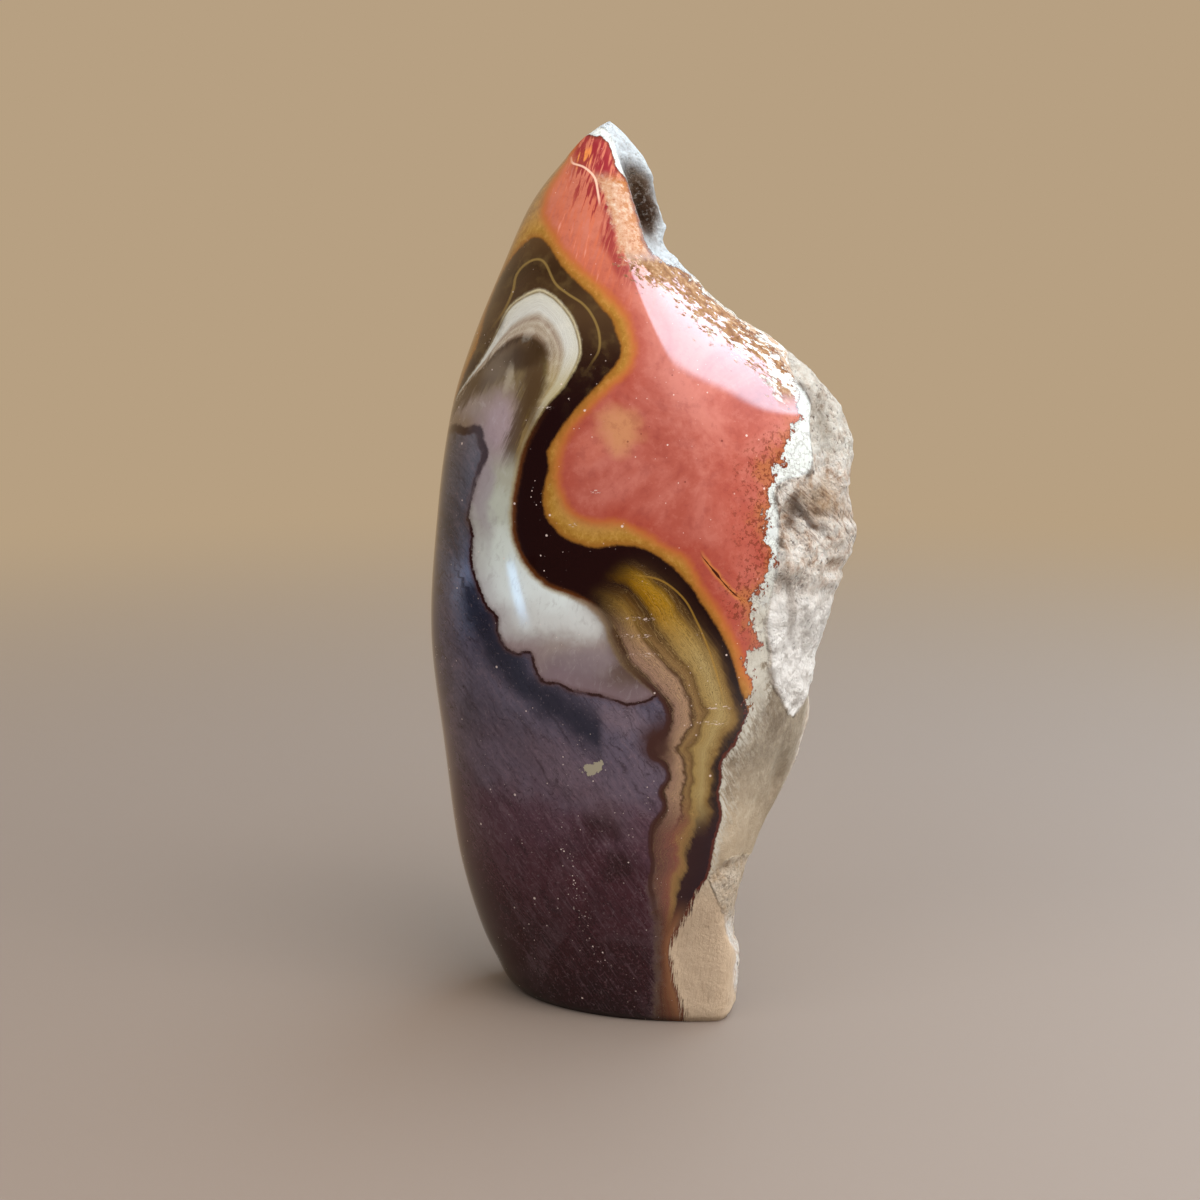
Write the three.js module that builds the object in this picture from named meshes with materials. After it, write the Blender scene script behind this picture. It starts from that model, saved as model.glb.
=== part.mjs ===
// A polished jasper freeform: a flame of banded stone that stands on a flat cut base.
// The left, front and back are ground to one smooth swelling curve. The right side keeps
// the natural rind, with a scoop under the tip, a broken raw lobe and a worn tan flank.
//
// Millimetres, +Z up, +X to the right and +Y away from the viewer. The origin is in the
// middle of the footprint, on the surface the stone rests on.

import * as THREE from 'three';

// Driving dimensions.

const HEIGHT = 173.8;
const AROUND_POLISH = 28; // steps round the polished side
const AROUND_RIND = 38; // steps round the rind, which needs the finer mesh
const RIND_FROM = -80; // degrees round the section, 0 being +X and -90 the front
const RIND_TO = 105;
const MID_STEP = 2.75; // spacing of the rings, away from the base and the tip

// Outline seen from the front, as [height, x].
const LEFT_EDGE = [
  [0, -25.8], [1.5, -27.4], [5, -29.2], [13, -32.8], [30, -37.2], [50, -39.4], [75, -41.9],
  [100, -40], [120, -36.9], [132, -33], [147, -26.6], [159, -21], [166, -15.3], [170, -11.8],
  [172, -9.5], [173.2, -7.9], [HEIGHT, -6.8],
];
const RIGHT_EDGE = [
  [0, 19], [1.5, 20.2], [9, 20.8], [23, 21], [31, 23.8], [47, 31.2], [58, 34.6], [66, 35.2],
  [72, 35.6], [78, 36.8], [84, 38.6], [92, 40.9], [99, 41.9], [112, 42], [117, 40.6], [122, 37.4],
  [127, 33.4], [132, 26.4], [139.5, 15.4], [144, 11.2], [148, 8], [151, 6.3], [155, 5.1], [159, 4],
  [162.6, 2.9], [166.4, 1.1], [170, -1.6], [172, -3.4], [173.2, -4.8], [HEIGHT, -5.7],
];

// Front and back seen from the side, as [height, y].
const FRONT_EDGE = [
  [0, -22.6], [1.5, -23.8], [8, -25.4], [30, -28.4], [62, -30.2], [92, -29.6], [118, -25.8],
  [138, -19.4], [153, -12.6], [165, -6], [171, -1.4], [173.2, 1.4], [HEIGHT, 2.6],
];
const BACK_EDGE = [
  [0, 20.4], [1.5, 21.8], [8, 23.8], [30, 27.4], [62, 29], [92, 28.6], [118, 26], [138, 21.6],
  [153, 17], [165, 12], [171, 8.2], [173.2, 6], [HEIGHT, 4.8],
];

// Middle of the section: x of the ridge where the front swells most, and y of its widest line.
const CREST = [
  [0, 10], [35, 11.5], [80, 12], [112, 8], [135, 0], [152, -5], [166, -7], [HEIGHT, -6.1],
];
const SPINE = [[0, 3], [40, 2], [90, 0], [130, 0.6], [155, 2.4], [HEIGHT, 3.7]];

// Where the polish stops at the rind on the front and on the back, as [height, x].
const RIND_FRONT = [
  [0, 8.5], [16, 6], [33, 13.3], [49, 15.5], [62, 20.5], [71, 24.4], [93, 26.2], [104, 29],
  [112, 33.3], [119, 32.8], [127, 28.3], [138, 16], [146, 6.3], [151, 0.5], [158, -1.5],
  [168, -5.5], [HEIGHT, -9],
];
const RIND_BACK = [
  [0, 12], [24, 9], [48, 19], [70, 23], [92, 16], [110, 20], [128, 10], [142, 1], [156, -7],
  [HEIGHT, -12],
];

// The broken raw lobe stands proud of the worn flank. Its left and right edges, as
// [height, x], meet at a point low on the side, and it fades out under the shoulder.
const LOBE_TIP = 57;
const LOBE_LEFT = [[57, 31], [64, 28], [71, 24.8], [93, 26.4], [103, 28.6], [112, 33.6]];
const LOBE_RIGHT = [[57, 32], [62, 35], [68, 40]];
const LOBE_FADE = [92, 104];
const LOBE_PROUD = 1.6;

// The section is fuller than an ellipse at the right corner of the foot, and flatter above,
// where the rind cuts across it. Each is a share of the radius.
const FOOT_CORNER = 0.12;
const RIND_BEVEL = 0.085;

// Hollows in the rind: the middle, how far it reaches along x, y and z, and the depth.
const HOLLOWS = [
  { name: 'scoop under the tip, upper end', at: [-1.5, -4, 168], reach: [3.6, 6, 6.5], depth: 1.8 },
  { name: 'scoop under the tip', at: [1, -6, 161], reach: [5.5, 8, 10], depth: 3.4 },
  { name: 'scoop under the tip, lower end', at: [3.5, -7, 154], reach: [5, 8, 6.5], depth: 2.6 },
  { name: 'notch below the scoop', at: [8, 4, 150], reach: [7, 12, 3], depth: 0.8 },
  { name: 'valley behind the shoulder rim', at: [30, -9, 126], reach: [6, 6, 6], depth: 1.6 },
  { name: 'crevice beside the white patch', at: [34.5, -14, 117], reach: [3, 5, 10], depth: 1.8 },
  { name: 'valley at the white patch', at: [38, -8.5, 118], reach: [4.5, 5.5, 10], depth: 1.4 },
  { name: 'valley below it', at: [37, -12, 109], reach: [4.5, 5, 7], depth: 1.8 },
  { name: 'pocket under the white patch', at: [29, -19, 98], reach: [3.6, 6, 7], depth: 2.6 },
  { name: 'groove down the raw face', at: [33.5, -14, 100], reach: [2.4, 5, 6], depth: 1.4 },
  { name: 'crack low on the bulge', at: [37, -10, 88], reach: [4.5, 5, 2.6], depth: 1.5 },
  { name: 'crease down the flank', at: [27, -13, 49], reach: [3, 6, 9], depth: 1.2 },
  { name: 'flaked heel', at: [21, -10, 17], reach: [5, 12, 12], depth: 1.3 },
  { name: 'hollow behind the shoulder', at: [30, 16, 121], reach: [12, 8, 12], depth: 3.2 },
  { name: 'hollow behind the flank', at: [27, 17, 62], reach: [8, 9, 17], depth: 2.6 },
  { name: 'hollow behind the bulge', at: [34, 13, 93], reach: [9, 7, 9], depth: 2 },
];

// How lumpy the rind is: size of a lump and how far it stands out, both in mm.
const LUMPS = [
  { size: 15, swell: 1.5 },
  { size: 6.5, swell: 1.1 },
  { size: 3.6, swell: 0.5 },
];

/** A smooth curve through [height, value] points that never overshoots between them. */
function profile(points) {
  const h = points.map((p) => p[0]);
  const v = points.map((p) => p[1]);
  const last = points.length - 1;
  const rise = h.slice(1).map((_, i) => (v[i + 1] - v[i]) / (h[i + 1] - h[i]));
  const slope = h.map((_, i) => {
    if (i === 0) return rise[0];
    if (i === last) return rise[last - 1];
    const product = rise[i - 1] * rise[i];
    return product > 0 ? (2 * product) / (rise[i - 1] + rise[i]) : 0;
  });
  return (height) => {
    const at = THREE.MathUtils.clamp(height, h[0], h[last]);
    let i = 0;
    while (i < last - 1 && at > h[i + 1]) i += 1;
    const span = h[i + 1] - h[i];
    const t = (at - h[i]) / span;
    const s = 1 - t;
    return (
      v[i] * s * s * (1 + 2 * t) +
      v[i + 1] * t * t * (1 + 2 * s) +
      span * s * t * (slope[i] * s - slope[i + 1] * t)
    );
  };
}

/** A repeatable value from 0 to 1 for one corner of the noise lattice. */
function lattice(i, j, k) {
  const wave = Math.sin(i * 127.1 + j * 311.7 + k * 74.7) * 4375.85453;
  return wave - Math.floor(wave);
}

/** Smooth noise from -1 to 1 that changes over a distance of `size`. */
function lumpiness(x, y, z, size) {
  const p = [x / size, y / size, z / size];
  const cell = p.map(Math.floor);
  const f = p.map((value, axis) => THREE.MathUtils.smoothstep(value - cell[axis], 0, 1));
  let sum = 0;
  for (let corner = 0; corner < 8; corner += 1) {
    const [i, j, k] = [corner & 1, (corner >> 1) & 1, (corner >> 2) & 1];
    const weight = (i ? f[0] : 1 - f[0]) * (j ? f[1] : 1 - f[1]) * (k ? f[2] : 1 - f[2]);
    sum += weight * lattice(cell[0] + i, cell[1] + j, cell[2] + k);
  }
  return sum * 2 - 1;
}

// The outlines as curves.
const left = profile(LEFT_EDGE);
const right = profile(RIGHT_EDGE);
const front = profile(FRONT_EDGE);
const back = profile(BACK_EDGE);
const crest = profile(CREST);
const spine = profile(SPINE);
const rindFront = profile(RIND_FRONT);
const rindBack = profile(RIND_BACK);
const lobeLeft = profile(LOBE_LEFT);
const lobeRight = profile(LOBE_RIGHT);

const { smoothstep, degToRad, lerp } = THREE.MathUtils;

/** Distance from the middle of the section to the ground surface, before any relief. */
function sectionRadius(angle, height) {
  const c = Math.cos(angle);
  const s = Math.sin(angle);
  const halfWidth = Math.abs((c > 0 ? right(height) : left(height)) - crest(height));
  const halfDepth = Math.abs((s > 0 ? back(height) : front(height)) - spine(height));
  const across = c / halfWidth;
  const along = s / halfDepth;
  const radius = 1 / Math.hypot(across, along);
  if (c <= 0) return radius;
  const corner = lerp(FOOT_CORNER, -RIND_BEVEL, smoothstep(height, 4, 45));
  return radius * (1 + corner * (2 * across * along * radius * radius) ** 2);
}

/** How much of a spot is rind: 0 on the polish, 1 once well past its edge. */
function rindShare(x, y, height) {
  const turn = smoothstep(y, -6, 6);
  const edge = lerp(rindFront(height), rindBack(height), turn);
  return smoothstep(x - edge, -0.4, 2.2);
}

/** How much of a spot is the raw lobe, which has a sharper edge than the rest. */
function lobeShare(x, height) {
  const fromLeft = smoothstep(x - lobeLeft(height), -0.6, 1.4);
  const fromRight = smoothstep(lobeRight(height) - x, -0.6, 1.8);
  return height > LOBE_TIP - 2 ? fromLeft * fromRight * (1 - smoothstep(height, ...LOBE_FADE)) : 0;
}

/** How far the rind stands out (or is hollowed, below 0) at a spot. */
function relief(x, y, height) {
  const share = rindShare(x, y, height);
  if (share === 0) return 0;
  const lobe = lobeShare(x, height);
  const flank = 1 - smoothstep(height, LOBE_TIP - 8, LOBE_TIP + 18);
  const worn = flank * lerp(1, 0.3, smoothstep(y, -4, 10)) * (1 - lobe);
  const slim = smoothstep(height, HEIGHT, HEIGHT - 22); // less relief on the thin tip
  const rough = lerp(1, 0.3, worn) * (0.3 + 0.7 * slim);
  let out = LOBE_PROUD * lobe - 0.3;
  for (const { size, swell } of LUMPS) out += swell * lumpiness(x, y, height, size) * rough;
  for (const { at, reach, depth } of HOLLOWS) {
    const away = Math.hypot(...[x, y, height].map((value, i) => (value - at[i]) / reach[i]));
    out -= depth * (1 - smoothstep(away, 0.2, 1));
  }
  return out * share * smoothstep(height, -1, 6);
}

/** A point on the finished surface. */
function surfacePoint(angle, height) {
  const c = Math.cos(angle);
  const s = Math.sin(angle);
  const smooth = sectionRadius(angle, height);
  const bump = relief(crest(height) + smooth * c, spine(height) + smooth * s, height);
  const r = Math.max(smooth + bump, smooth * 0.35);
  return new THREE.Vector3(crest(height) + r * c, spine(height) + r * s, height);
}

/** Angles round one ring, in radians, closer together on the rind. */
function ringAngles() {
  const angles = [];
  for (let i = 0; i < AROUND_RIND; i += 1) angles.push(lerp(RIND_FROM, RIND_TO, i / AROUND_RIND));
  for (let i = 0; i < AROUND_POLISH; i += 1) {
    angles.push(lerp(RIND_TO, RIND_FROM + 360, i / AROUND_POLISH));
  }
  return angles.map(degToRad);
}

/** Heights of the rings, with short steps at the rounded base edge and at the tip. */
function ringHeights() {
  const heights = [0, 0.5, 1.4, 3];
  const upper = HEIGHT - 8;
  const steps = Math.round((upper - 5) / MID_STEP);
  for (let i = 0; i <= steps; i += 1) heights.push(5 + ((upper - 5) * i) / steps);
  for (const below of [6, 4.2, 2.8, 1.8, 1, 0.5, 0.15]) heights.push(HEIGHT - below);
  return heights;
}

/** The whole stone as one closed skin: rings, a flat base and a point at the tip. */
function stoneGeometry() {
  const angles = ringAngles();
  const heights = ringHeights();
  const around = angles.length;
  const points = heights.flatMap((height) => angles.map((angle) => surfacePoint(angle, height)));
  const base = points.push(new THREE.Vector3(0, 0, 0)) - 1;
  const tip = points.push(new THREE.Vector3(crest(HEIGHT), spine(HEIGHT), HEIGHT)) - 1;

  const faces = [];
  const top = (heights.length - 1) * around;
  for (let i = 0; i < around; i += 1) {
    const next = (i + 1) % around;
    faces.push(base, next, i);
    faces.push(tip, top + i, top + next);
    for (let ring = 0; ring < top; ring += around) {
      faces.push(ring + i, ring + next, ring + around + next);
      faces.push(ring + i, ring + around + next, ring + around + i);
    }
  }
  const geometry = new THREE.BufferGeometry().setFromPoints(points);
  geometry.setIndex(faces);
  return geometry;
}

// The part: one stone, moved so that the origin is in the middle of its footprint.
const geometry = stoneGeometry();
geometry.computeBoundingBox();
const box = geometry.boundingBox;
geometry.translate(-(box.min.x + box.max.x) / 2, -(box.min.y + box.max.y) / 2, 0);
geometry.computeVertexNormals();

const jasper = new THREE.MeshStandardMaterial({ color: 0xb0614f, roughness: 0.12, metalness: 0 });
const stone = new THREE.Mesh(geometry, jasper);
stone.name = 'jasper_freeform';

const part = new THREE.Group();
part.add(stone);

export default part;
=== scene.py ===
"""A polished jasper freeform: a flame of banded stone with natural rind down its right side.

The skin is lofted again from the outlines of the solid, on a finer mesh, and every point
of it stores how far it lies from the edges of the stone's colour bands. The material draws
the bands, the polish and the rind from those distances. Lengths are in millimetres, in the
stone's own coordinates, until a mesh is made.
"""

import logging
import math
from collections.abc import Iterable, Sequence
from dataclasses import dataclass, field
from enum import Enum

import bpy
import numpy as np
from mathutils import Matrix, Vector


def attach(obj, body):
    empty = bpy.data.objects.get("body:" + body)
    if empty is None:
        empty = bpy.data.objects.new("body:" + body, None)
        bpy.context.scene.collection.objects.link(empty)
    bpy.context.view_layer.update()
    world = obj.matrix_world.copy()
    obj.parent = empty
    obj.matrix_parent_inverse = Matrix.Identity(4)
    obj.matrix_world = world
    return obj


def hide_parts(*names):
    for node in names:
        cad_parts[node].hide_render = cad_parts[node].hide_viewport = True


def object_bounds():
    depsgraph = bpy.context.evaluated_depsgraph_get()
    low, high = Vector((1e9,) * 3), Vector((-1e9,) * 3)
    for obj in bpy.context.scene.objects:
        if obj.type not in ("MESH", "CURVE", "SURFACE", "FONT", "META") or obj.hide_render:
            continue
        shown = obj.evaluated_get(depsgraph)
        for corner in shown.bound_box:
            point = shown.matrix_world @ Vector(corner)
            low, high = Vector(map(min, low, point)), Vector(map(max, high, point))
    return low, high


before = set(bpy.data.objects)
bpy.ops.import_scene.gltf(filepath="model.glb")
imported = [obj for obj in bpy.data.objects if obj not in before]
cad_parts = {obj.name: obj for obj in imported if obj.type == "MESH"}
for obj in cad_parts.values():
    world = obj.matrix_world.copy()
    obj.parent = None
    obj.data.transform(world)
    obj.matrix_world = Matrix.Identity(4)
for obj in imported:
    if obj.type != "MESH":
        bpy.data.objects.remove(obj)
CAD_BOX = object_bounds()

Colour = tuple[float, ...]
LOG = logging.getLogger("jasper")

NODE = "jasper_freeform"
BODY = "root"
MM = 0.001

Pair = tuple[float, float]
Triple = tuple[float, float, float]
Socket = bpy.types.NodeSocket
Feed = Socket | float | Triple


def ease(value: np.ndarray, low: float, high: float) -> np.ndarray:
    """Rises smoothly from 0 at low to 1 at high, or falls where low is the larger.

    Args:
        value: What to test.
        low: Where the result is 0.
        high: Where the result is 1.

    Returns:
        A share from 0 to 1 for each value.
    """
    t = np.clip((value - low) / (high - low), 0.0, 1.0)
    return t * t * (3.0 - 2.0 * t)


def mix(low: np.ndarray | float, high: np.ndarray | float, share: np.ndarray) -> np.ndarray:
    """Blends two values by a share from 0 to 1."""
    return low + (high - low) * share


@dataclass(frozen=True)
class Profile:
    """A smooth curve through (height, value) points that never overshoots between them.

    Its bends are eased away from the base and the tip, so that reflections run over them
    without a kink.
    """

    points: Sequence[Pair]
    soften: float = 2.5

    def __call__(self, heights: np.ndarray) -> np.ndarray:
        """Reads the curve.

        Args:
            heights: Heights to read it at, in mm.

        Returns:
            The value at each height.
        """
        low, high = self.points[0][0], self.points[-1][0]
        grid = np.arange(low, high + 0.2, 0.2)
        exact = self._hermite(np.clip(grid, low, high))
        reach = int(self.soften * 15)
        weights = np.exp(-0.5 * (np.arange(-reach, reach + 1) * 0.2 / self.soften) ** 2)
        padded = np.pad(exact, reach, mode="reflect", reflect_type="odd")
        soft = np.convolve(padded, weights / weights.sum(), mode="valid")
        inner = ease(grid, low + 6.0, low + 16.0) * ease(grid, high - 5.0, high - 14.0)
        return np.interp(heights, grid, mix(exact, soft, inner))

    def _hermite(self, at: np.ndarray) -> np.ndarray:
        """Reads the curve before its bends are eased.

        Args:
            at: Heights within the curve.

        Returns:
            The value at each height.
        """
        h, v = (np.array(column, float) for column in zip(*self.points))
        span = np.diff(h)
        rise = np.diff(v) / span
        product = rise[:-1] * rise[1:]
        total = np.where(product > 0, rise[:-1] + rise[1:], 1.0)
        inner = np.where(product > 0, 2.0 * product / total, 0.0)
        slope = np.concatenate(([rise[0]], inner, [rise[-1]]))
        i = np.clip(np.searchsorted(h, at, side="left") - 1, 0, len(span) - 1)
        t = (at - h[i]) / span[i]
        s = 1.0 - t
        ends = v[i] * s * s * (1 + 2 * t) + v[i + 1] * t * t * (1 + 2 * s)
        return ends + span[i] * s * t * (slope[i] * s - slope[i + 1] * t)


def lattice(cells: np.ndarray) -> np.ndarray:
    """A repeatable value from 0 to 1 for each corner of the noise lattice."""
    wave = np.sin(cells @ np.array([127.1, 311.7, 74.7])) * 4375.85453
    return wave - np.floor(wave)


def corners() -> Iterable[np.ndarray]:
    """The eight corners of a lattice cell."""
    return (np.array([n & 1, n >> 1 & 1, n >> 2 & 1]) for n in range(8))


def lumpiness(place: np.ndarray, size: float) -> np.ndarray:
    """Smooth noise.

    Args:
        place: Points, one to a row.
        size: Distance over which it changes, in mm.

    Returns:
        A value from -1 to 1 at each point.
    """
    cell = np.floor(place / size)
    part = ease(place / size - cell, 0.0, 1.0)
    total = np.zeros(len(place))
    for corner in corners():
        total += lattice(cell + corner) * np.where(corner, part, 1.0 - part).prod(axis=1)
    return total * 2.0 - 1.0


def flake_scars(place: np.ndarray, size: float) -> np.ndarray:
    """Shallow bowls that meet in sharp ridges, as where flakes broke off.

    Args:
        place: Points, one to a row.
        size: Usual width of a bowl, in mm.

    Returns:
        The height at each point, 0 in the middle of a bowl and about 1 on a ridge.
    """
    cell = np.floor(place / size)
    nearest = np.full(len(place), 9.0)
    for step in np.ndindex(3, 3, 3):
        other = cell + np.array(step) - 1
        jitter = np.stack([lattice(other + shift) for shift in (0.0, 17.3, 41.9)], axis=1)
        gap = ((place / size - other - jitter) ** 2).sum(axis=1)
        nearest = np.minimum(nearest, gap)
    return np.minimum(nearest, 1.2)


@dataclass(frozen=True)
class Marking:
    """An edge or a line drawn on the stone's face, through (across, up) points in mm."""

    points: Sequence[Pair]
    closed: bool = False

    def path(self) -> np.ndarray:
        """The smooth curve through the points, as many short steps."""
        p = np.array(self.points, float)
        if self.closed:
            p = np.vstack([p[-1:], p, p[:2]])
        else:
            p = np.vstack([2 * p[0] - p[1], p, 2 * p[-1] - p[-2]])
        t = np.linspace(0.0, 1.0, 6, endpoint=False)[:, None]
        steps = [
            0.5 * (2 * b + (c - a) * t + (2 * a - 5 * b + 4 * c - d) * t**2
                   + (3 * b - a - 3 * c + d) * t**3)
            for a, b, c, d in zip(p, p[1:], p[2:], p[3:])
        ]
        return np.vstack([*steps, p[-2:-1]])

    def distance(self, across: np.ndarray, up: np.ndarray) -> np.ndarray:
        """How far each spot lies from the marking.

        Args:
            across: Distance right of the stone's middle, in mm.
            up: Distance up the face, in mm.

        Returns:
            Distances in mm, above 0 on the left of the way that the points run.
        """
        path = self.path()
        start, way = path[:-1], np.diff(path, axis=0)
        length = (way**2).sum(axis=1)
        result = np.empty(len(across))
        for chunk in range(0, len(across), 6000):
            spot = np.stack([across, up], axis=1)[chunk : chunk + 6000, None, :] - start
            along = np.clip((spot * way).sum(axis=2) / length, 0.0, 1.0)
            gap = ((spot - along[..., None] * way) ** 2).sum(axis=2)
            best = gap.argmin(axis=1)
            row = np.arange(len(best))
            side = way[best, 0] * spot[row, best, 1] - way[best, 1] * spot[row, best, 0]
            result[chunk : chunk + 6000] = np.sqrt(gap[row, best]) * np.sign(side)
        return result


@dataclass(frozen=True)
class Hollow:
    """A hollow in the rind: its middle, its reach along x, y and z, and its depth, in mm."""

    middle: Triple
    reach: Triple
    depth: float


@dataclass(frozen=True)
class Outline:
    """The outlines of the ground surface, each as (height, distance) points in mm."""

    height: float = 173.8
    left: Profile = Profile((
        (0, -25.8), (1.5, -27.4), (5, -29.2), (13, -32.8), (30, -37.2), (50, -39.4),
        (75, -41.9), (100, -40), (120, -36.9), (132, -33), (147, -26.6), (159, -21),
        (166, -15.3), (170, -11.8), (172, -9.5), (173.2, -7.9), (173.8, -6.8),
    ))
    right: Profile = Profile((
        (0, 19), (1.5, 20.2), (9, 20.8), (23, 21), (31, 23.8), (47, 31.2), (58, 34.6),
        (66, 35.2), (72, 35.6), (78, 36.8), (84, 38.6), (92, 40.9), (99, 41.9), (112, 42),
        (117, 40.6), (122, 37.4), (127, 33.4), (132, 26.4), (139.5, 15.4), (144, 11.2),
        (148, 8), (151, 6.3), (155, 5.1), (159, 4), (162.6, 2.9), (166.4, 1.1), (170, -1.6),
        (172, -3.4), (173.2, -4.8), (173.8, -5.7),
    ), soften=1.2)
    front: Profile = Profile((
        (0, -22.6), (1.5, -23.8), (8, -25.4), (30, -28.4), (62, -30.2), (92, -29.6),
        (118, -25.8), (138, -19.4), (153, -12.6), (165, -6), (171, -1.4), (173.2, 1.4),
        (173.8, 2.6),
    ))
    back: Profile = Profile((
        (0, 20.4), (1.5, 21.8), (8, 23.8), (30, 27.4), (62, 29), (92, 28.6), (118, 26),
        (138, 21.6), (153, 17), (165, 12), (171, 8.2), (173.2, 6), (173.8, 4.8),
    ))
    crest: Profile = Profile((
        (0, 10), (35, 11.5), (80, 12), (112, 8), (135, 0), (152, -5), (166, -7), (173.8, -6.1),
    ))
    spine: Profile = Profile(((0, 3), (40, 2), (90, 0), (130, 0.6), (155, 2.4), (173.8, 3.7)))
    foot_corner: float = 0.12
    rind_bevel: float = 0.085

    def radius(self, angle: np.ndarray, height: np.ndarray) -> np.ndarray:
        """Distance from the middle of the section to the ground surface.

        Args:
            angle: Angle round the section in radians, 0 being +X.
            height: Height of the section, in mm.

        Returns:
            The distance at each pair of angle and height.
        """
        c, s = np.cos(angle), np.sin(angle)
        crest, spine = self.crest(height), self.spine(height)
        half_width = mix(crest - self.left(height), self.right(height) - crest, ease(c, -0.4, 0.4))
        half_depth = mix(spine - self.front(height), self.back(height) - spine, ease(s, -0.4, 0.4))
        across, along = c / half_width, s / half_depth
        radius = 1.0 / np.hypot(across, along)
        corner = mix(self.foot_corner, -self.rind_bevel, ease(height, 4.0, 45.0))
        bulge = corner * (2.0 * across * along * radius * radius) ** 2 * ease(c, -0.1, 0.15)
        return radius * (1.0 + bulge)


@dataclass(frozen=True)
class Rind:
    """The natural rind: where it lies, its lumps and its hollows."""

    back_edge: Profile = Profile((
        (0, 12), (24, 9), (48, 19), (70, 23), (92, 16), (110, 20), (128, 10), (142, 1),
        (156, -7), (173.8, -12),
    ))
    lobe_proud: float = 1.6
    lumps: Sequence[Pair] = ((15.0, 1.5), (6.5, 1.1), (3.6, 0.5), (1.7, 0.32), (0.9, 0.14))
    scars: Sequence[Pair] = ((8.0, 1.2), (3.2, 0.7))
    hollows: Sequence[Hollow] = (
        Hollow((-1.5, -4, 168), (3.6, 6, 6.5), 1.8),
        Hollow((1, -6, 161), (5.5, 8, 10), 3.4),
        Hollow((3.5, -7, 154), (5, 8, 6.5), 2.6),
        Hollow((8, 4, 150), (7, 12, 3), 0.8),
        Hollow((30, -9, 126), (6, 6, 6), 1.6),
        Hollow((34.5, -14, 117), (3, 5, 10), 1.8),
        Hollow((38, -8.5, 118), (4.5, 5.5, 10), 1.4),
        Hollow((37, -12, 109), (4.5, 5, 7), 1.8),
        Hollow((29, -19, 98), (3.6, 6, 7), 2.6),
        Hollow((33.5, -14, 100), (2.4, 5, 6), 1.4),
        Hollow((37, -10, 88), (4.5, 5, 2.6), 1.5),
        Hollow((27, -13, 49), (3, 6, 9), 1.2),
        Hollow((21, -10, 17), (5, 12, 12), 1.3),
        Hollow((30, 16, 121), (12, 8, 12), 3.2),
        Hollow((27, 17, 62), (8, 9, 17), 2.6),
        Hollow((34, 13, 93), (9, 7, 9), 2.0),
    )

    def relief(self, place: np.ndarray, edge: np.ndarray, raw: np.ndarray,
               lobe: np.ndarray, top: float) -> np.ndarray:
        """How far the rind stands out from the ground surface, or is hollowed, below 0.

        Args:
            place: Points on the ground surface, one to a row.
            edge: Distance of each past the edge of the polish, in mm.
            raw: Distance of each past the edge of the broken ground, in mm.
            lobe: How much each belongs to the raw lobe, which stands proud.
            top: Height of the stone.

        Returns:
            The relief at each point, in mm.
        """
        height = place[:, 2]
        broken = ease(raw, -0.5, 1.2)
        rough = (0.22 + 0.78 * broken) * (0.3 + 0.7 * ease(height, top, top - 22.0))
        out = self.lobe_proud * lobe - 0.3
        for size, swell in self.lumps:
            out = out + swell * lumpiness(place, size) * rough
        for size, swell in self.scars:
            out = out + swell * (flake_scars(place, size) - 0.95) * rough * broken
        for hollow in self.hollows:
            away = np.linalg.norm((place - hollow.middle) / np.array(hollow.reach), axis=1)
            out = out - hollow.depth * ease(away, 1.0, 0.2)
        return out * ease(edge, -0.1, 1.6) * ease(height, -1.0, 6.0)


@dataclass(frozen=True)
class Viewpoint:
    """Where the face is looked at from, which sets how markings lie on the curved stone."""

    distance: float = 440.0
    tilt: float = math.radians(10.0)
    aim: Triple = (-8.0, 0.0, 80.0)
    face_origin: Pair = (0.2, -4.0)

    def eye(self) -> np.ndarray:
        """The point that the face is seen from."""
        back = np.array([0.0, -math.cos(self.tilt), math.sin(self.tilt)])
        return np.array(self.aim) + self.distance * back

    def face(self, place: np.ndarray) -> tuple[np.ndarray, np.ndarray]:
        """Where points of the stone show on its face.

        Args:
            place: Points, one to a row.

        Returns:
            Distances across and up the face, in mm.
        """
        away = place - self.eye()
        ahead = np.array([0.0, math.cos(self.tilt), -math.sin(self.tilt)])
        upward = np.array([0.0, math.sin(self.tilt), math.cos(self.tilt)])
        scale = self.distance / (away @ ahead)
        across = self.aim[0] + away[:, 0] * scale - self.face_origin[0]
        up = self.aim[2] + (away @ upward) * scale - self.face_origin[1]
        return across, up


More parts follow.
